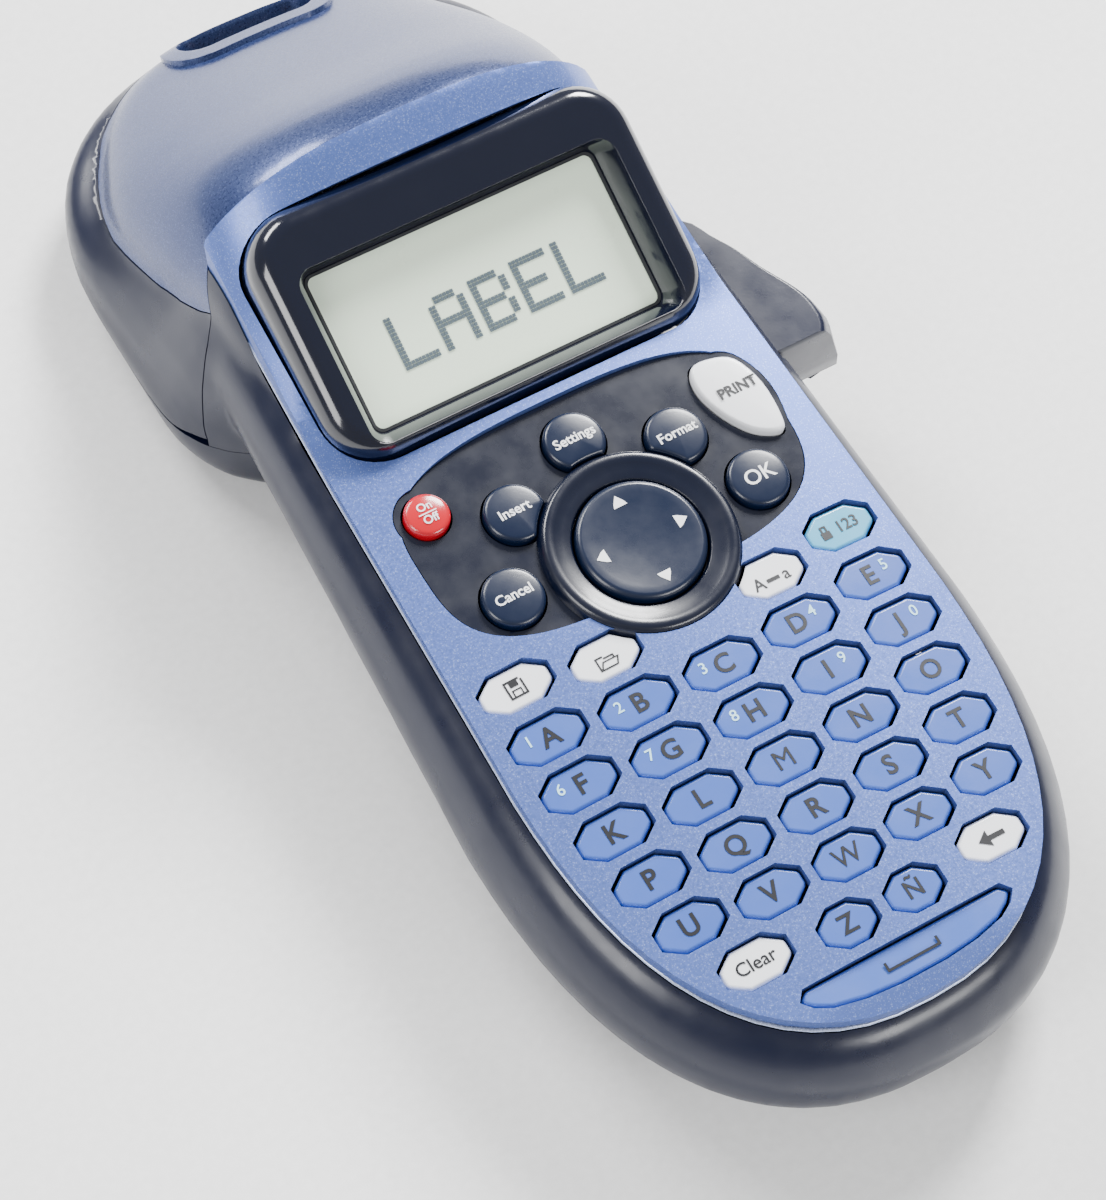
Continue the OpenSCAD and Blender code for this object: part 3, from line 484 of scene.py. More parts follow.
cover = {"groove": 0.3, "slotY": 118.4, "slotZ": -20.9, "slotTilt": 50, "slotW": 25, "slotH": 9.6,
         "collarLift": 0.9}
form = bodyForm()
print("body form", len(form.data.polygons))
collarForm = copyOf(form, "slotCollar")
shape(collarForm, "DISPLACE", strength=cover["collarLift"], mid_level=0)
skin = hollow(form, 2.0)

coverLow = [(y, z) for y, z in partLine(0.2) if y > 55.4]
coverZone = sideways("coverZone", seamLine(0.25) + coverLow[:-1] + [(150, -30.8), (150, 40)])
coverShell = copyOf(skin, "coverShell")
carve(coverShell, coverZone, "INTERSECT")
frontZone = sideways("frontZone", [(-100, 40)] + seamLine() + list(reversed(upTo(partLine(), 55))))
frontShell = copyOf(skin, "frontShell")
carve(frontShell, frontZone, "INTERSECT")
rearZone = sideways("rearZone", [(-100, -60), (150, -60)] + list(reversed(partLine(-0.15))))
rearShell = skin
carve(rearShell, rearZone, "INTERSECT")
print("shells cut", len(coverShell.data.polygons), len(frontShell.data.polygons),
      len(rearShell.data.polygons))

# head cover

twoTone = [(50, 2), (60, -1), (64, -3), (68, -7), (73, -11), (78, -13.8), (83, -16.2), (88, -18.6),
           (92, -20.4), (96, -21.6), (100, -22.6), (106, -23.6), (112, -24.2), (130, -24.8)]


def roundedBox(halfW, low, high, radius, z, steps=6):
    ring = []
    for cx, cy, turn in ((halfW - radius, low + radius, -90), (halfW - radius, high - radius, 0),
                         (radius - halfW, high - radius, 90), (radius - halfW, low + radius, 180)):
        for i in range(steps + 1):
            a = math.radians(turn + 90 * i / steps)
            ring.append((cx + radius * math.cos(a), cy + radius * math.sin(a), z))
    return ring


def atSlot(piece):
    piece.data.transform(Matrix.Translation((0, cover["slotY"], cover["slotZ"]))
                         @ Matrix.Rotation(-math.radians(cover["slotTilt"]), 4, "X"))
    return piece


def slotRing(grow, z):
    return roundedBox(cover["slotW"] / 2 + grow, -cover["slotH"] / 2 - grow,
                      cover["slotH"] / 2 + grow,
                      cover["slotH"] / 2 + grow - 0.05, z, 10)


def headCover():
    top = copyOf(coverShell, "coverTop")
    skirt = coverShell
    skirt.name = "coverSkirt"
    above = sideways("aboveLine", twoTone + [(130, 40), (50, 40)])
    below = sideways("belowLine", [(y, z - cover["groove"]) for y, z in twoTone]
                     + [(130, -60), (50, -60)])
    carve(top, above, "INTERSECT")
    carve(skirt, below, "INTERSECT")
    hole = atSlot(loft("slotHole", [slotRing(1.2, -14), slotRing(1.2, 12)]))
    carve(top, hole, keep=True)
    carve(skirt, hole)
    collar = collarForm
    carve(collar, atSlot(loft("collarZone", [slotRing(3.0, -6), slotRing(2.6, 10)])), "INTERSECT")
    carve(collar, atSlot(loft("slotMouth", [slotRing(-0.3, -8), slotRing(-0.3, 0.4),
                                            slotRing(1.6, 6)])))
    bevelled(collar, 0.4, 3, 50)
    lining = atSlot(loft("slotLining", [slotRing(0.2, -7), slotRing(0.2, -9)]))
    carve(lining, atSlot(loft("liningHole", [slotRing(-1.2, -12), slotRing(-1.2, 0)])))
    strip = atSlot(loft("tearStrip", [roundedBox(10.6, -5.0, -2.9, 0.5, z) for z in (-6.4, -1.2)]))
    bevelled(strip, 0.3)
    barrel = loft("coverBarrel", [[(x, 121 + 2.4 * math.cos(a), -32.5 + 2.4 * math.sin(a))
                                   for a in [math.pi * k / 20 for k in range(40)]]
                                  for x in (-8.8, 8.8)])
    tongue = upright("coverTongue", [(-8.6, 119.4), (8.6, 119.4), (8.6, 121.6), (-8.6, 121.6)], -32.4,
                     -29.4)
    barrel = joined("coverBarrel", [barrel, tongue])
    bevelled(barrel, 0.25)
    finished(top, "cover", paint["cover"], ["head_cover"])
    finished(skirt, "cover", paint["navy"], ["head_cover"])
    finished(collar, "cover", paint["cover"], angle=60)
    finished(lining, "cover", paint["inside"])
    finished(strip, "cover", paint["brass"])
    finished(barrel, "cover", paint["navy"])


headCover()
print("head cover made")

# casings

rear = {"bayX": 29.9, "bayLow": -32, "bayHigh": 23.5, "doorTop": -28.25, "bayRoof": -12.05,
        "screwZ": -20.35, "hingeY": 121, "hingeZ": -32.5, "pivot": (32.485, 58)}
window = {"x": 31.6, "low": 19.2, "high": 52.2, "bottom": -27.55, "top": -6.35}
screwSpots = [(0, -81.95), (38.9, -26.95), (-38.9, -26.95), (37.61, 12), (-37.61, 12)]


def tube(name, x, y, radius, low, high, sides=32):
    return loft(name, [[(x + radius * math.cos(2 * math.pi * k / sides),
                         y + radius * math.sin(2 * math.pi * k / sides), z) for k in range(sides)]
                       for z in (low, high)])


def block(name, x0, y0, z0, x1, y1, z1):
    return upright(name, [(x0, y0), (x1, y0), (x1, y1), (x0, y1)], z0, z1)


def crossTube(name, y, z, radius, x0, x1, sides=32):
    return loft(name, [[(x, y + radius * math.cos(2 * math.pi * k / sides),
                         z + radius * math.sin(2 * math.pi * k / sides)) for k in range(sides)]
                       for x in (x0, x1)])


def leverWindow(name):
    return block(name, window["x"], window["low"], window["bottom"], 80, window["high"],
                 window["top"])


def casings():
    carve(frontShell, upright("faceColumn", faceOutline(0.25), -9, 30))
    carve(frontShell, leverWindow("leverHole"))
    finished(frontShell, "casing", paint["navy"], ["front_housing"])
    shell = rearShell
    shell.name = "rearCasing"
    carve(shell, leverWindow("leverHoleRear"))
    door = loft("doorSeat", [roundedBox(rear["bayX"] + 1.5, rear["bayLow"] - 7.3,
                                        rear["bayHigh"] + 1.5, 3, z)
                             for z in (-34, rear["doorTop"])])
    carve(shell, door)
    carve(shell, block("bayHole", -rear["bayX"], rear["bayLow"], -34, rear["bayX"], rear["bayHigh"],
                       -20))
    carve(shell, crossTube("hingeRoom", rear["hingeY"], rear["hingeZ"], 3.0, -18, 18))
    for x, y in screwSpots:
        carve(shell, tube("screwWell", x, y, 2.6, -36, rear["screwZ"]))
    finished(shell, "casing", paint["navy"], ["rear_housing"])
    bay = block("cellBay", -rear["bayX"] - 1.5, rear["bayLow"] - 1.5, rear["doorTop"] - 0.02,
                rear["bayX"] + 1.5, rear["bayHigh"] + 1.5, rear["bayRoof"])
    carve(bay, block("bayInside", -rear["bayX"], rear["bayLow"], -34, rear["bayX"], rear["bayHigh"],
                     rear["bayRoof"] - 1.2))
    finished(bevelled(bay, 0.25), "casing", paint["inside"])
    lugs = [crossTube("hingeLug", rear["hingeY"], rear["hingeZ"], 2.6, x - 1.9,
                      x + 1.9) for x in (-11.1, 11.1)]
    lugs += [block("hingeFoot", x - 1.9, 116.8, -35.1, x + 1.9, 121, -32.5) for x in (-11.1, 11.1)]
    finished(bevelled(joined("hingeLugs", lugs), 0.25), "casing", paint["navy"])
    pin = tube("leverPin", *rear["pivot"], 1.5, -37, -21.5)
    finished(bevelled(pin, 0.25), "casing", paint["inside"])
    # floor of the cassette bay and the wall in front of it
    floor = upright("bayFloor", bodyOutline(38.9, 41.3, 50, 66, 76, 118, 3), -29.5, -28)
    carve(floor, block("frontOfWall", -60, 0, -40, 60, 63.2, 0))
    carve(floor, block("bladeRoom", -6.2, 106.7, -32, 33, 125, -20))
    carve(floor, tube("shaftHole", 5, 99.5, 1.55, -32, -20))
    wall = block("bayWall", -faceHalf(63.2) + 3, 63.2, -29.5, faceHalf(63.2) - 3, 64.6, -6.5)
    finished(bevelled(floor, 0.2), "casing", paint["inside"])
    finished(bevelled(wall, 0.3), "casing", paint["inside"])


casings()
print("casings made")

# faceplate

keys = {"w": 12.04, "d": 6.5, "pitchX": 14.44, "pitchY": 8.7, "firstY": -23.05, "bow": 0.0028,
        "rise": 1.4, "fit": 0.35, "cornerX": 3.0, "cornerY": 2.1}
pad = {"recess": 14, "lip": 1.3, "r": 10.1, "top": 0.25, "dish": 0.45, "floor": -2.8}
panelTop = -1.9


def crownZ(x):
    return face["topZ"] - face["crown"] * (x / face["halfWidth"]) ** 2


def faceHeight(x, y):
    # flat crown over the keypad, rising to the arch of the head
    half = faceHalf(y)
    if y < face["wideY"]:
        half = superEnd(face["halfWidth"], min(1, (face["wideY"] - y) / 54.6), 2.4)
        flat = face["topZ"] - face["crown"] * min(1, abs(x) / face["halfWidth"]) ** 2
        edge = max(0, (-77 - y) / 5.5)
        return flat - 1.4 * min(1, edge) ** 1.5 * (1 - (x / 38) ** 2)
    lift = min(1.02, max(0, (y - face["liftY"]) / (face["seamY"] - face["liftY"])))
    lift = lift ** 2 * 4 if lift < 0.125 else (lift - 0.0625) / 0.9375
    part = min(1, abs(x) / (half + 0.2))
    arch = -4.6 + (face["crownZ"] + 4.6) * max(0, 1 - part ** 2.6) ** 0.5
    return mix(face["topZ"] - face["crown"] * part ** 2, arch, lift)


def bowY(row, x):
    return keys["firstY"] - row * keys["pitchY"] + keys["bow"] * x * x


def letterSpot(i):
    row = i // 5
    x = (i % 5 - 2) * keys["pitchX"] * (1 - 0.006 * row * row)
    return x, bowY(row, x), keys["w"] * (1 - 0.006 * row * row)


smallW = keys["w"] - 2.8
keySpots = {"key_" + "abcdefghijklmnopqrstuvwxy"[i]: letterSpot(i) for i in range(25)}
keySpots.update({
    "save_key": (-28.88, bowY(-1, 28.88) + 0.5, keys["w"] - 0.4),
    "number_key": (28.88, bowY(-1, 28.88) + 0.5, keys["w"] - 0.4),
    "recall_key": (-14.74, bowY(-1, 14.44), keys["w"] - 0.9),
    "case_key": (14.74, bowY(-1, 14.44), keys["w"] - 0.9),
    "clear_key": (-20.79, bowY(5, 20.79), keys["w"] - 0.8),
    "back_key": (20.79, bowY(5, 20.79), keys["w"] - 0.8),
    "key_z": (-smallW / 2 - 1.2, -66.85, smallW), "key_n_tilde": (smallW / 2 + 1.2, -66.85, smallW)})


def keyOutline(w, d, grow=0):
    x, y, cx, cy = w / 2 + grow, d / 2 + grow, keys["cornerX"], keys["cornerY"]
    return [(-x, -y + cy), (-x + cx, -y), (x - cx, -y), (x, -y + cy),
            (x, y - cy), (x - cx, y), (-x + cx, y), (-x, y - cy)]


def spaceOutline(grow=0):
    low, high, half = -81.55 + 3.4, -66.55 - 5.9, 18
    rows = [(half - 1, high, 1, 1), (half + 0.4, high - 1.3, 1, 0), (half - 1, low + 3.1, 1, -1),
            (14.5, low + 1.7, 0.7, -1), (9.5, low + 0.6, 0.3, -1), (4, low + 0.1, 0, -1)]
    right = [(x + grow * gx, y + grow * gy) for x, y, gx, gy in rows]
    return right + [(-x, y) for x, y in right[::-1]]


def keyBlock(name, grow, low, high):
    if name == "space_key":
        return upright(name + "Hole", spaceOutline(grow), low, high)
    x, y, w = keySpots[name]
    return upright(name + "Hole", [(x + px, y + py) for px, py in keyOutline(w, keys["d"], grow)],
                   low, high)


def panelOutline(grow=0, count=96):
    points = []
    for k in range(count):
        a = 2 * math.pi * k / count
        c, s = math.cos(a), math.sin(a)
        up = (16.3 if s > 0 else 18.5) + grow
        x = (31.8 + grow) * math.copysign(abs(c) ** 0.625, c)
        y = 11 + up * math.copysign(abs(s) ** 0.625, s)
        points.append((x, y))
    return points


printShape = [(-4.4, 7.2), (-0.8, 7.4), (2.6, 5.6), (4.3, 0), (3.8, -6.6), (2.4, -8.4), (-1.4, -6.3),
              (-4.2, -1.8), (-5.5, 3.2)]


def printOutline(grow=0):
    # the shield's corners are rounded by running a curve through them
    points = []
    n = len(printShape)
    for i in range(n):
        p0, p1, p2, p3 = (printShape[(i + k - 1) % n] for k in range(4))
        for t in (0, 0.25, 0.5, 0.75):
            points.append(tuple(0.5 * (2 * p1[j] + (p2[j] - p0[j]) * t
                                       + (2 * p0[j] - 5 * p1[j] + 4 * p2[j] - p3[j]) * t * t
                                       + (3 * p1[j] - p0[j] - 3 * p2[j] + p3[j]) * t ** 3)
                                for j in (0, 1)))
    grown = []
    for x, y in points:
        d = math.hypot(x, y)
        grown.append((27 + x * (d + grow) / d, 14.6 + y * (d + grow) / d))
    return grown


def circleOutline(x, y, r, count=48):
    return [(x + r * math.cos(2 * math.pi * k / count), y + r * math.sin(2 * math.pi * k / count))
            for k in range(count)]


ringR = 19.4
sideTurn = math.radians(48)
roundButtons = {"settings_button": (0, ringR, 4.9), "cancel_button": (-21.9, 1, 4.9),
                "ok_button": (21.9, 1, 4.9),
                "insert_button": (-ringR * math.sin(sideTurn), ringR * math.cos(sideTurn), 4.9),
                "format_button": (ringR * math.sin(sideTurn), ringR * math.cos(sideTurn), 4.9),
                "power_button": (-26.4, 18.8, 3.6)}


def bittenOutline(name, grow=0):
    # a round button, cut back concentric to the pad's ring
    x, y, r = roundButtons[name]
    limit = pad["recess"] + pad["lip"] + 0.5 - grow
    points = []
    for px, py in circleOutline(x, y, r + grow, 64):
        d = math.hypot(px, py)
        if d < limit:
            px, py = px * limit / d, py * limit / d
        points.append((px, py))
    return points


def panelCutters(grow, low, high):
    return [upright("panelZone", panelOutline(grow), low, high),
            upright("ringZone", circleOutline(0, 0, pad["recess"] + pad["lip"] + grow, 96), low,
                    high),
            upright("powerZone", circleOutline(-26.4, 18.8, 3.6 + 1.4 + grow), low, high),
            upright("printZone", printOutline(1.4 + grow), low, high)]


lcd = {"y": 46.8, "z": 2.45, "tilt": math.radians(20), "w": 51.6, "h": 26.3}
frameHalf, frameLow, frameHigh = lcd["w"] / 2 + 7.6, -lcd["h"] / 2 - 4.4, lcd["h"] / 2 + 10.6


def atDisplay(piece):
    piece.data.transform(Matrix.Translation((0, lcd["y"], lcd["z"]))
                         @ Matrix.Rotation(lcd["tilt"], 4, "X"))
    return piece


def frameRing(grow, z, radius=9):
    return roundedBox(frameHalf + grow, frameLow - grow, frameHigh + grow, radius + grow, z, 10)


def faceplate():
    deselectAll()
    bpy.ops.mesh.primitive_grid_add(x_subdivisions=56, y_subdivisions=120, size=1)
    plate = newest("facePlate")
    for vertex in plate.data.vertices:
        x, y = vertex.co.x * 82, -3.8 + vertex.co.y * 160
        vertex.co = (x, y, faceHeight(x, y))
    outward(plate)
    shape(plate, "SOLIDIFY", thickness=2.0, offset=-1)
    carve(plate, upright("faceZone", faceOutline(), -30, 40), "INTERSECT")
    carve(plate, sideways("belowSeam", [(-100, 40)] + seamLine() + [(55.4, -40), (-100, -40)]),
          "INTERSECT")
    for cutter in panelCutters(0.15, -30, 30):
        carve(plate, cutter)
    carve(plate, atDisplay(loft("frameZone", [frameRing(0.2, -30), frameRing(0.2, 30)])))
    holes = joined("keyHoles", [keyBlock(name, keys["fit"], -30, 30)
                                for name in [*keySpots, "space_key"]])
    carve(plate, holes)
    bevelled(plate, 0.28, 2, 50)
    finished(plate, "casing", paint["blue"], ["faceplate"], angle=30)


def paintedEdgeHighlight():
    # painted highlight: a thin bright silver line laid round the faceplate's edge
    path = []
    highlightZ, highlightEnd = -4.45, 66.4
    for x, y in faceOutline(-0.15):
        if y < highlightEnd:
            path.append((x, y,
                         faceHeight(x * 0.995, y) + 0.05 if y > face["wideY"] else highlightZ))
    right = sorted([p for p in path if p[0] > 0], key=lambda p: -p[1])
    left = sorted([p for p in path if p[0] <= 0], key=lambda p: p[1])
    points = right + left
    deselectAll()
    bpy.ops.curve.primitive_nurbs_path_add()
    line = bpy.context.object
    spline = line.data.splines
    spline.clear()
    spline = spline.new("POLY")
    spline.points.add(len(points) - 1)
    for point, (x, y, z) in zip(spline.points, points):
        point.co = (x, y, z, 1)
    line.data.bevel_depth = 0.36
    line.data.bevel_resolution = 3
    line.data.use_fill_caps = True
    bpy.ops.object.convert(target="MESH")
    finished(outward(newest("paintedEdgeHighlight")), "casing", paint["edgeHighlight"])


faceplate()
paintedEdgeHighlight()
print("faceplate made")

# button panel and display


def buttonPanel():
    low = -8.15
    base = upright("panelBase", panelOutline(0), low, panelTop)
    for cutter in (upright("b", circleOutline(0, 0, pad["recess"] + pad["lip"], 96), low, panelTop),
                   upright("c", circleOutline(-26.4, 18.8, 5.0), low, panelTop),
                   upright("d", printOutline(1.4), low, panelTop)):
        carve(base, cutter, "UNION")
    for name in roundButtons:
        carve(base, upright("hole", bittenOutline(name, 0.35), low - 1, 4))
    carve(base, upright("hole", printOutline(0.35), low - 1, 4))
    carve(base, upright("hole", circleOutline(0, 0, pad["recess"], 96), pad["floor"], 4))
    carve(base, upright("hole", circleOutline(0, 0, pad["r"] + 0.3, 96), low - 1, 4))
    base.name = "buttonPanel"
    bevelled(base, 0.35, 3, 50)
    finished(base, "casing", paint["panel"])
    # raised ring round the four-way pad, with a shoulder that falls to the pad's edge
    inner, outer = pad["recess"], pad["recess"] + pad["lip"]
    hoop("padRing", [(outer + 0.5, panelTop - 0.3), (outer + 0.35, panelTop + 0.35),
                     (outer + 0.05, panelTop + 1.1),
                     (outer - 0.3, -0.3), (outer - 0.75, 0.0), (inner - 0.3, -0.02),
                     (inner - 0.75, -0.3),
                     (inner - 2.0, -0.62), (pad["r"] + 0.75, -0.8), (pad["r"] + 0.4, -1.1),
                     (pad["r"] + 0.35, -2.7),
                     (outer + 0.3, -2.7)])


def hoop(name, profile, count=96):
    # a torus whose tube takes the profile, so it closes on itself
    deselectAll()
    bpy.ops.mesh.primitive_torus_add(major_segments=count, minor_segments=len(profile))
    ring = newest(name)
    for i, vertex in enumerate(ring.data.vertices):
        a = 2 * math.pi * (i // len(profile)) / count
        r, z = profile[i % len(profile)]
        vertex.co = (r * math.cos(a), r * math.sin(a), z)
    outward(ring)
    return finished(ring, "casing", paint["panel"], angle=50)


def domedCap(name, outline, base, top, crown=0.5, edge=0.8):
    # a button's cap: rises straight, then rounds over to a shallow dome
    cx = sum(x for x, y in outline) / len(outline)
    cy = sum(y for x, y in outline) / len(outline)
    size = max(math.hypot(x - cx, y - cy) for x, y in outline)

    def ring(shrink, z):
        k = 1 - shrink / size
        return [(cx + (x - cx) * k, cy + (y - cy) * k, z) for x, y in outline]

    rings = [ring(0, base), ring(0, top - edge)]
    for i in range(1, 5):
        a = math.pi / 2 * i / 4
        rings.append(ring(edge * (1 - math.cos(a)), top - edge + edge * math.sin(a)))
    for k in (0.12, 0.25, 0.4, 0.55, 0.7, 0.85, 0.97):
        rings.append(ring(edge + (size - edge) * k, top + crown * (1 - (1 - k) ** 2)))
    return loft(name, rings)


def laid(piece, x, y, z, turn, surface):
    # a print is turned and placed, and follows the surface it is on
    piece.data.transform(Matrix.Translation((x, y, z)) @ Matrix.Rotation(math.radians(turn), 4, "Z"))
    if surface:
        for vertex in piece.data.vertices:
            vertex.co.z += surface(vertex.co.x, vertex.co.y) - surface(x, y)


def bar(x0, y0, x1, y1):
    return [(x0, y0), (x1, y0), (x1, y1), (x0, y1)]


def label(name, text, body, x, y, z, size, ink, turn=0, bold=0.0, lift=0.03, surface=None):
    deselectAll()
    bpy.ops.object.text_add()
    words = bpy.context.object
    words.data.body = text
    words.data.size = size
    words.data.align_x = "CENTER"
    words.data.align_y = "CENTER"
    words.data.extrude = 0.04
    words.data.offset = bold
    words.data.resolution_u = 4
    bpy.ops.object.convert(target="MESH")
    piece = newest(name)
    laid(piece, x, y, z + lift, turn, surface)
    finished(piece, body, ink)
    return piece


def symbol(name, outlines, body, x, y, z, ink, turn=0, surface=None):
    # a small printed sign from flat outlines
    parts = [loft(name, [[(px, py, pz) for px, py in outline] for pz in (0, 0.06)])
             for outline in outlines]
    piece = joined(name, parts)
    laid(piece, x, y, z, turn, surface)
    return finished(piece, body, ink)


buttonTop = panelTop + 1.5
capFoot = panelTop - 3.1
dome = {"crown": 0.3, "edge": 0.8}


def onDome(x, y, size):
    # the height of a round button's cap over its rim
    reach = size - dome["edge"]
    return lambda px, py: dome["crown"] * (1 - min(1, math.hypot(px - x, py - y) / reach) ** 2)


buttonWords = {"settings_button": "Settings", "insert_button": "Insert", "format_button": "Format",
               "cancel_button": "Cancel", "ok_button": "OK"}


def buttons():
    for name, words in buttonWords.items():
        outline = bittenOutline(name)
        cap = domedCap("cap_" + name, outline, capFoot, buttonTop, dome["crown"])
        finished(cap, name, paint["button"], [name], angle=60)
        x, y = (sum(p[k] for p in outline) / len(outline) for k in (0, 1))
        size = max(math.hypot(px - x, py - y) for px, py in outline)
        label("word_" + name, words, name, x, y, buttonTop + dome["crown"],
              2.3 if words != "OK" else 3.5,
              paint["whiteInk"], bold=0.04, surface=onDome(x, y, size))
    x, y, r = roundButtons["power_button"]
    finished(domedCap("cap_power_button", bittenOutline("power_button"), capFoot, buttonTop,
                      dome["crown"]),
             "power_button", paint["redKey"], ["power_button"], angle=60)
    for words, dy in (("On", 1.1), ("Off", -1.1)):
        label("word_" + words.lower(), words, "power_button", x, y + dy, buttonTop + dome["crown"],
              1.9,
              paint["whiteInk"], bold=0.03, surface=onDome(x, y, r))
    symbol("line_power", [bar(-1.5, -0.1, 1.5, 0.1)], "power_button", x, y,
           buttonTop + dome["crown"] + 0.02,
           paint["whiteInk"])
    finished(domedCap("cap_print_button", printOutline(), capFoot, buttonTop, dome["crown"]),
             "print_button", paint["whiteKey"], ["print_button"], angle=60)
    label("word_print", "PRINT", "print_button", 27, 15.4, buttonTop + dome["crown"], 2.5,
          paint["ink"], bold=0.06)
    padCap = domedCap("cap_nav_pad", circleOutline(0, 0, pad["r"], 96), capFoot, pad["top"],
                      -pad["dish"], 1.0)
    finished(padCap, "nav_pad", paint["button"], ["nav_pad"], angle=60)
    for k, turn in enumerate((0, 90, 180, 270)):
        a = math.radians(turn)
        symbol("arrow_%d" % k, [[(-1.15, -0.75), (1.15, -0.75), (0.9, -0.1), (0, 1.15),
                                 (-0.9, -0.1)]],
               "nav_pad", -6.9 * math.sin(a), 6.9 * math.cos(a), padHeight(6.9, 0) + 0.02,
               paint["whiteInk"],
               turn, padHeight)


def padHeight(x, y):
    return pad["top"] - pad["dish"] * max(0, 1 - (math.hypot(x, y) / (pad["r"] - 1.0)) ** 2)


def displayFrame():
    rings = [frameRing(-0.5, -8), frameRing(-0.4, -5), frameRing(0, -1), frameRing(0, 0.6),
             frameRing(-0.25, 1.7),
             frameRing(-0.7, 2.7), frameRing(-1.3, 3.5), frameRing(-2.0, 4.1), frameRing(-2.9, 4.45),
             frameRing(-3.6, 4.5)]
    frameBody = loft("displayFrame", rings)
    half, h = lcd["w"] / 2, lcd["h"] / 2
    window = loft("windowZone", [roundedBox(half + g, -h - g, h + min(g, 0.6), 1.6 + g * 0.6, z,
                                            8) for g, z in
                                 ((0, -10), (0, 0), (0.5, 1.4), (1.2, 2.9), (2.0, 4.1), (2.7, 5.2))])
    carve(frameBody, window)
    carve(frameBody, loft("displayRoom", [roundedBox(half + 3, -h - 3, h + 3, 1, z)
                                          for z in (-9, 0)]))
    bevelled(frameBody, 0.22, 3, 45)
    atDisplay(frameBody)
    finished(frameBody, "casing", paint["frame"], angle=40)
    seal = loft("windowSeal", [roundedBox(half + 0.02, -h - 0.02, h + 0.02, 1.6, z,
                                          8) for z in (-0.08, 0.25)])
    carve(seal, loft("sealHole", [roundedBox(half - 0.45, -h + 0.45, h - 0.45, 1.3, z,
                                             8) for z in (-1, 1)]))
    finished(atDisplay(seal), "casing", paint["rubber"])


dotLetters = {"L": "10000 10000 10000 10000 10000 10000 11111",
              "A": "01110 10001 10001 11111 10001 10001 10001",
              "B": "11110 10001 10001 11110 10001 10001 11110",
              "E": "11111 10000 10000 11110 10000 10000 11111"}


def displayDots(word="LABEL"):
    # each stroke is two fine dots wide, like a small dot display
    step, left, low = 0.62, -17.0, -6.2
    deselectAll()
    cage = bmesh.new()
    for n, letter in enumerate(word):
        for row, line in enumerate(dotLetters[letter].split()):
            for column, mark in enumerate(line):
                if mark != "1":
                    continue
                for dx in range(2):
                    for dy in range(2):
                        x = left + (n * 12 + column * 2 + dx) * step
                        y = low + ((6 - row) * 2 + dy) * step
                        spots = [(x, y), (x + step * 0.86, y), (x + step * 0.86, y + step * 0.86),
                                 (x, y + step * 0.86)]
                        lower = [cage.verts.new((px, py, 0.0)) for px, py in spots]
                        upper = [cage.verts.new((px, py, 0.04)) for px, py in spots]
                        cage.faces.new(upper)
                        cage.faces.new(lower[::-1])
                        for i in range(4):
                            j = (i + 1) % 4
                            cage.faces.new((lower[i], lower[j], upper[j], upper[i]))
    mesh = bpy.data.meshes.new("displayDots")
    cage.to_mesh(mesh)
    cage.free()
    piece = bpy.data.objects.new("displayDots", mesh)
    bpy.context.scene.collection.objects.link(piece)
    finished(atDisplay(piece), "casing", paint["lcdInk"])


buttonPanel()
buttons()
displayFrame()
displayDots()
print("panel and display made")

# keys

keyPaint = {name: "whiteKey" for name in ("save_key", "recall_key", "case_key", "clear_key",
                                          "back_key")}
keyPaint["number_key"] = "cyanKey"


def keyCap(name, outline, lift):
    # a straight wall under softened edges, its top following the keypad's crown
    def ring(up):
        return [(x, y, crownZ(x) + up) for x, y in outline]

    soft = loft(name, [ring(-2.4), ring(lift)])
    bevelled(soft, 0.62, 4, 40)
    return soft


def keypad():
    for name in [*keySpots, "space_key"]:
        if name == "space_key":
            outline = spaceOutline()
        else:
            x, y, w = keySpots[name]
            outline = [(x + px, y + py) for px, py in keyOutline(w, keys["d"])]
        cap = keyCap("cap_" + name, outline, keys["rise"])
        if name in ("recall_key", "case_key"):
            carve(cap, tube("bite", 0, 0, pad["recess"] + pad["lip"] + 0.9, -20, 10, 96))
        colour = keyPaint.get(name, "blueKey")
        finished(cap, name, paint[colour], [name], angle=32)


def keyTop(x, y=0):
    return crownZ(x) + keys["rise"]


def mark(name, text, key, dx, dy, size, ink="ink", bold=0.0):
    x, y, w = keySpots.get(key, (0, -75.2, 36))
    label(name, text, key, x + dx, y + dy, keyTop(x + dx), size, paint[ink], bold=bold,
          surface=keyTop)


def sign(name, key, outlines, dx=0, dy=0):
    x, y, w = keySpots.get(key, (0, -75.2, 36))
    symbol(name, outlines, key, x + dx, y + dy, keyTop(x + dx) + 0.02, paint["ink"], 0, keyTop)


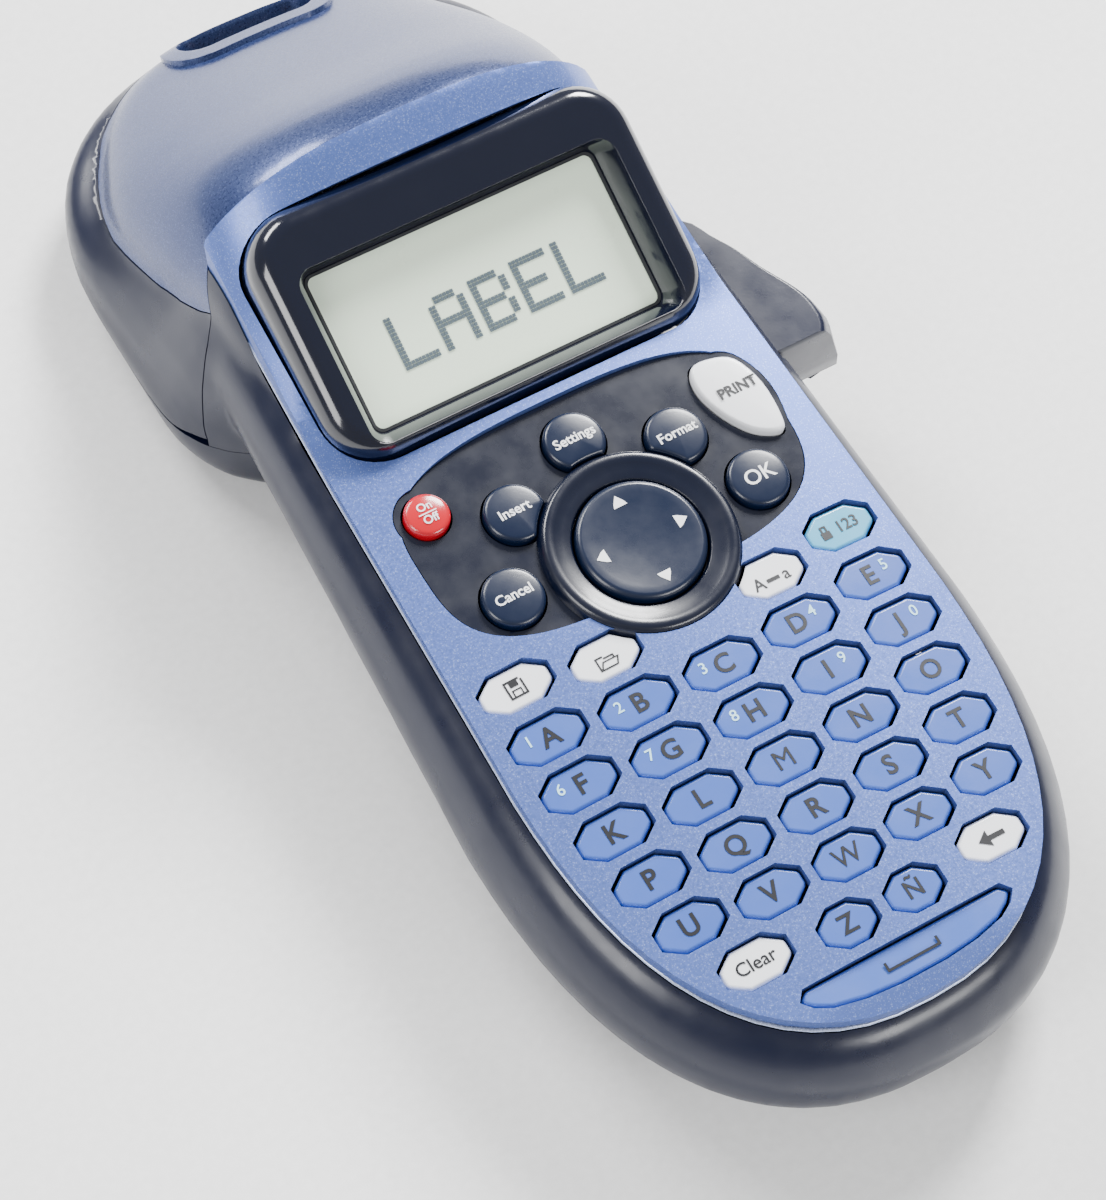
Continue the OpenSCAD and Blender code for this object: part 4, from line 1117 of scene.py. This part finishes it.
def legends():
    for i in range(25):
        letter = "ABCDEFGHIJKLMNOPQRSTUVWXY"[i]
        name = "key_" + letter.lower()
        side = 0
        if i < 10:
            side = 1 if i % 5 < 3 else -1
            mark("digit_" + letter, "1234567890"[i], name, -2.7 * side - 0.1, 0.75, 2.6, "cyanInk",
                 0.02)
        mark("letter_" + letter, letter, name, 0.4 * side, 0, 4.4,
             bold=0.0 if letter in "MW" else 0.09)
    mark("letter_Z", "Z", "key_z", 0, 0, 4.2, bold=0.08)
    mark("letter_N_tilde", "Ñ", "key_n_tilde", 0, 0, 4.0, bold=0.05)
    mark("word_clear", "Clear", "clear_key", 0, 0, 3.0, bold=0.02)
    mark("case_upper", "A", "case_key", -2.5, -0.7, 2.9, bold=0.02)
    mark("case_lower", "a", "case_key", 2.3, -0.7, 2.9, bold=0.02)
    mark("digits_123", "123", "number_key", 1.4, 0, 2.7, bold=0.03)
    sign("case_bar", "case_key", [bar(-1.1, -0.3, 1.1, 0.3)], 0, -0.7)
    sign("lock_sign", "number_key", [bar(-0.8, -1.1, 0.8, 0.2), bar(-0.55, 0.2, -0.25, 1.0),
                                     bar(0.25, 0.2, 0.55, 1.0),
                                     bar(-0.55, 0.95, 0.55, 1.2)], -2.6, 0)
    sign("back_arrow", "back_key", [[(-2.3, 0), (-0.4, 1.35), (-0.4, 0.4), (2.3, 0.4), (2.3, -0.4),
                                     (-0.4, -0.4),
                                     (-0.4, -1.35)]])
    sign("disk_sign", "save_key", [bar(-1.5, -1.5, -1.2, 1.5), bar(1.2, -1.5, 1.5, 1.1),
                                   bar(-1.2, -1.5, 1.2, -1.2),
                                   bar(-1.2, 1.2, 1.1, 1.5), bar(-0.7, 0.3, 0.7, 1.2),
                                   bar(-0.8, -1.2, -0.6, -0.2),
                                   bar(0.6, -1.2, 0.8, -0.2), bar(-0.8, -0.35, 0.8, -0.15)])
    sign("folder_sign", "recall_key", [bar(-1.7, -1.2, -1.45, 1.1), bar(-1.45, -1.2, 1.3, -0.95),
                                       bar(-1.45, 0.85, -0.4, 1.1), bar(-0.4, 0.5, 1.3, 0.75),
                                       bar(1.1, 0.0, 1.35, 0.75),
                                       [(-1.45, -0.95), (-0.8, 0.2), (2.0, 0.2), (1.75, 0.0),
                                        (-0.65, 0.0), (-1.2, -0.95)],
                                       [(1.3, -1.2), (2.0, 0.2), (1.72, 0.2), (1.05, -1.2)]], 0, -0.6)
    sign("space_sign", "space_key", [bar(-4.7, -0.75, 4.7, -0.3), bar(-4.7, -0.3, -4.25, 0.75),
                                     bar(4.25, -0.3, 4.7, 0.75)])


keypad()
legends()
print("keys made")

# cutter lever

lever = {"x": 44.985, "low": 20, "top": -6.95, "mid": -22.95, "bottom": -26.95, "midOut": 5.6,
         "lowOut": 3.6,
         "trim": 1.5, "pivotX": 32.485, "pivotY": 58}
leverShape = [(-8.8, 0.4), (3.6, 0.4), (4.7, 3.2), (4.1, 8), (0.6, 15), (-1.6, 20), (-3.7, 23.5),
              (-5.5, 27),
              (-8.8, 29.6)]


def leverRing(out, trim, z):
    points = []
    middle = [(py, px) for px, py in leverShape[1:]]
    ys = [0.4 + 29.2 * k / 20 for k in range(21)]
    for px, py in [leverShape[0]] + [(curveThrough(middle, y)[0], y) for y in ys]:
        x = lever["x"] + px + (out * (30 - py) / 30 if px > -8.8 else 0)
        points.append((x, lever["low"] + py + (trim if py < 1 else 0), z))
    return points


def cutterLever():
    rings = [leverRing(lever["lowOut"] - 2.2, lever["trim"] + 0.6, lever["bottom"]),
             leverRing(lever["lowOut"] - 0.6, lever["trim"] + 0.2, lever["bottom"] + 0.7),
             leverRing(lever["lowOut"] + 0.4, lever["trim"], lever["bottom"] + 1.9),
             leverRing(lever["midOut"], 0.3, lever["mid"]),
             leverRing(lever["midOut"] - 0.9, 0, lever["mid"] + 4),
             leverRing(lever["midOut"] * 0.25, 0, lever["top"] - 3),
             leverRing(0, 0, lever["top"] - 0.9), leverRing(-0.6, 0.1, lever["top"] - 0.25),
             leverRing(-1.5, 0.3, lever["top"])]
    grip = loft("leverGrip", rings)
    bevelled(grip, 0.6, 3, 55)
    hub = tube("leverHub", lever["pivotX"], lever["pivotY"], 3.5, -33, lever["bottom"] + 5, 48)
    web = block("leverWeb", lever["pivotX"] - 2.6, 42, lever["bottom"] + 1.4, lever["pivotX"] + 2.6,
                58, lever["bottom"] + 5)
    foot = block("leverFoot", lever["pivotX"] - 2.6, 42, lever["bottom"] + 1.4, 39, 48,
                 lever["bottom"] + 5)
    crank = block("leverCrank", lever["pivotX"] - 2, 58, -33, lever["pivotX"] + 2, 88, -31.6)
    pin = tube("crankPin", lever["pivotX"], 88, 1.15, -33, -29.6, 32)
    for part in (web, foot, hub, crank, pin):
        bevelled(part, 0.25, 2, 40)
    for part in (foot, web, hub, crank):
        carve(grip, part, "UNION")
    carve(grip, tube("pivotBore", lever["pivotX"], lever["pivotY"], 1.6, -40, 0, 32))
    carve(grip, pin, "UNION")
    finished(grip, "lever", paint["navy"], ["cutter_lever"], angle=40)


cutterLever()
print("lever made")

# carried-over parts, view and light

nodePaint = {"battery_door": "navy", "battery_cells": "cell", "battery_contacts": "steel",
             "housing_screws": "steel",
             "print_head": "board", "drive_motor": "steel", "cutter_blade": "steel",
             "keypad_mat": "rubber",
             "platen_roller": "rubber", "circuit_board": "board", "drive_pinion": "gear",
             "tape_cassette": "cassette",
             "display_panel": "lcd"}
for name, colour in nodePaint.items():
    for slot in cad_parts[name].material_slots:
        slot.material = paint[colour]


def softBox(name, spot, aim, width, height, power, tint=(1, 1, 1)):
    deselectAll()
    bpy.ops.object.light_add(type="AREA", location=spot)
    box = bpy.context.object
    box.name = name
    box.data.shape = "RECTANGLE"
    box.data.size, box.data.size_y = width, height
    box.data.energy = power
    box.data.color = tint
    box.rotation_euler = (Vector(aim) - Vector(spot)).to_track_quat("-Z", "Y").to_euler()


view = {"spot": (-0.2164, -0.1989, 0.5404), "turn": (2.621, -0.692, 0.336), "lens": 122.94}


def studio():
    deselectAll()
    bpy.ops.mesh.primitive_plane_add(size=6, location=(0, 0, 0))
    floor = newest("floor")
    floor.data.materials.append(paint["floor"])
    softBox("keyLight", (0.95, 0.75, 0.95), (0, 0.05, 0), 0.5, 0.5, 62)
    softBox("topLight", (-0.25, 1.15, 0.9), (0, 0.1, 0), 0.7, 0.4, 26)
    softBox("fillLight", (-1.2, -0.2, 0.9), (0, 0.0, 0), 0.6, 0.8, 16)
    softBox("frontLight", (0.45, -1.3, 0.75), (0, 0.0, 0), 0.8, 0.4, 14)
    world = bpy.context.scene.world or bpy.data.worlds.new("world")
    bpy.context.scene.world = world
    world.use_nodes = True
    world.node_tree.nodes["Background"].inputs["Color"].default_value = (1, 1, 1, 1)
    world.node_tree.nodes["Background"].inputs["Strength"].default_value = 0.42


def camera():
    deselectAll()
    bpy.ops.object.camera_add()
    eye = bpy.context.object
    eye.data.lens = view["lens"]
    eye.data.sensor_width = 36
    eye.data.sensor_fit = "VERTICAL"
    eye.data.sensor_height = 36
    axis = Vector(view["turn"])
    objectToEye = Matrix.Rotation(axis.length, 3, axis.normalized())
    toWorld = (Matrix.Rotation(seat["angle"], 3,
                               "X") @ objectToEye.transposed()) @ Matrix.Diagonal((1, -1, -1))
    spot = seatMatrix @ (Vector(view["spot"]) * 1000)
    eye.matrix_world = Matrix.Translation(spot) @ toWorld.to_4x4()
    bpy.context.scene.camera = eye


studio()
camera()
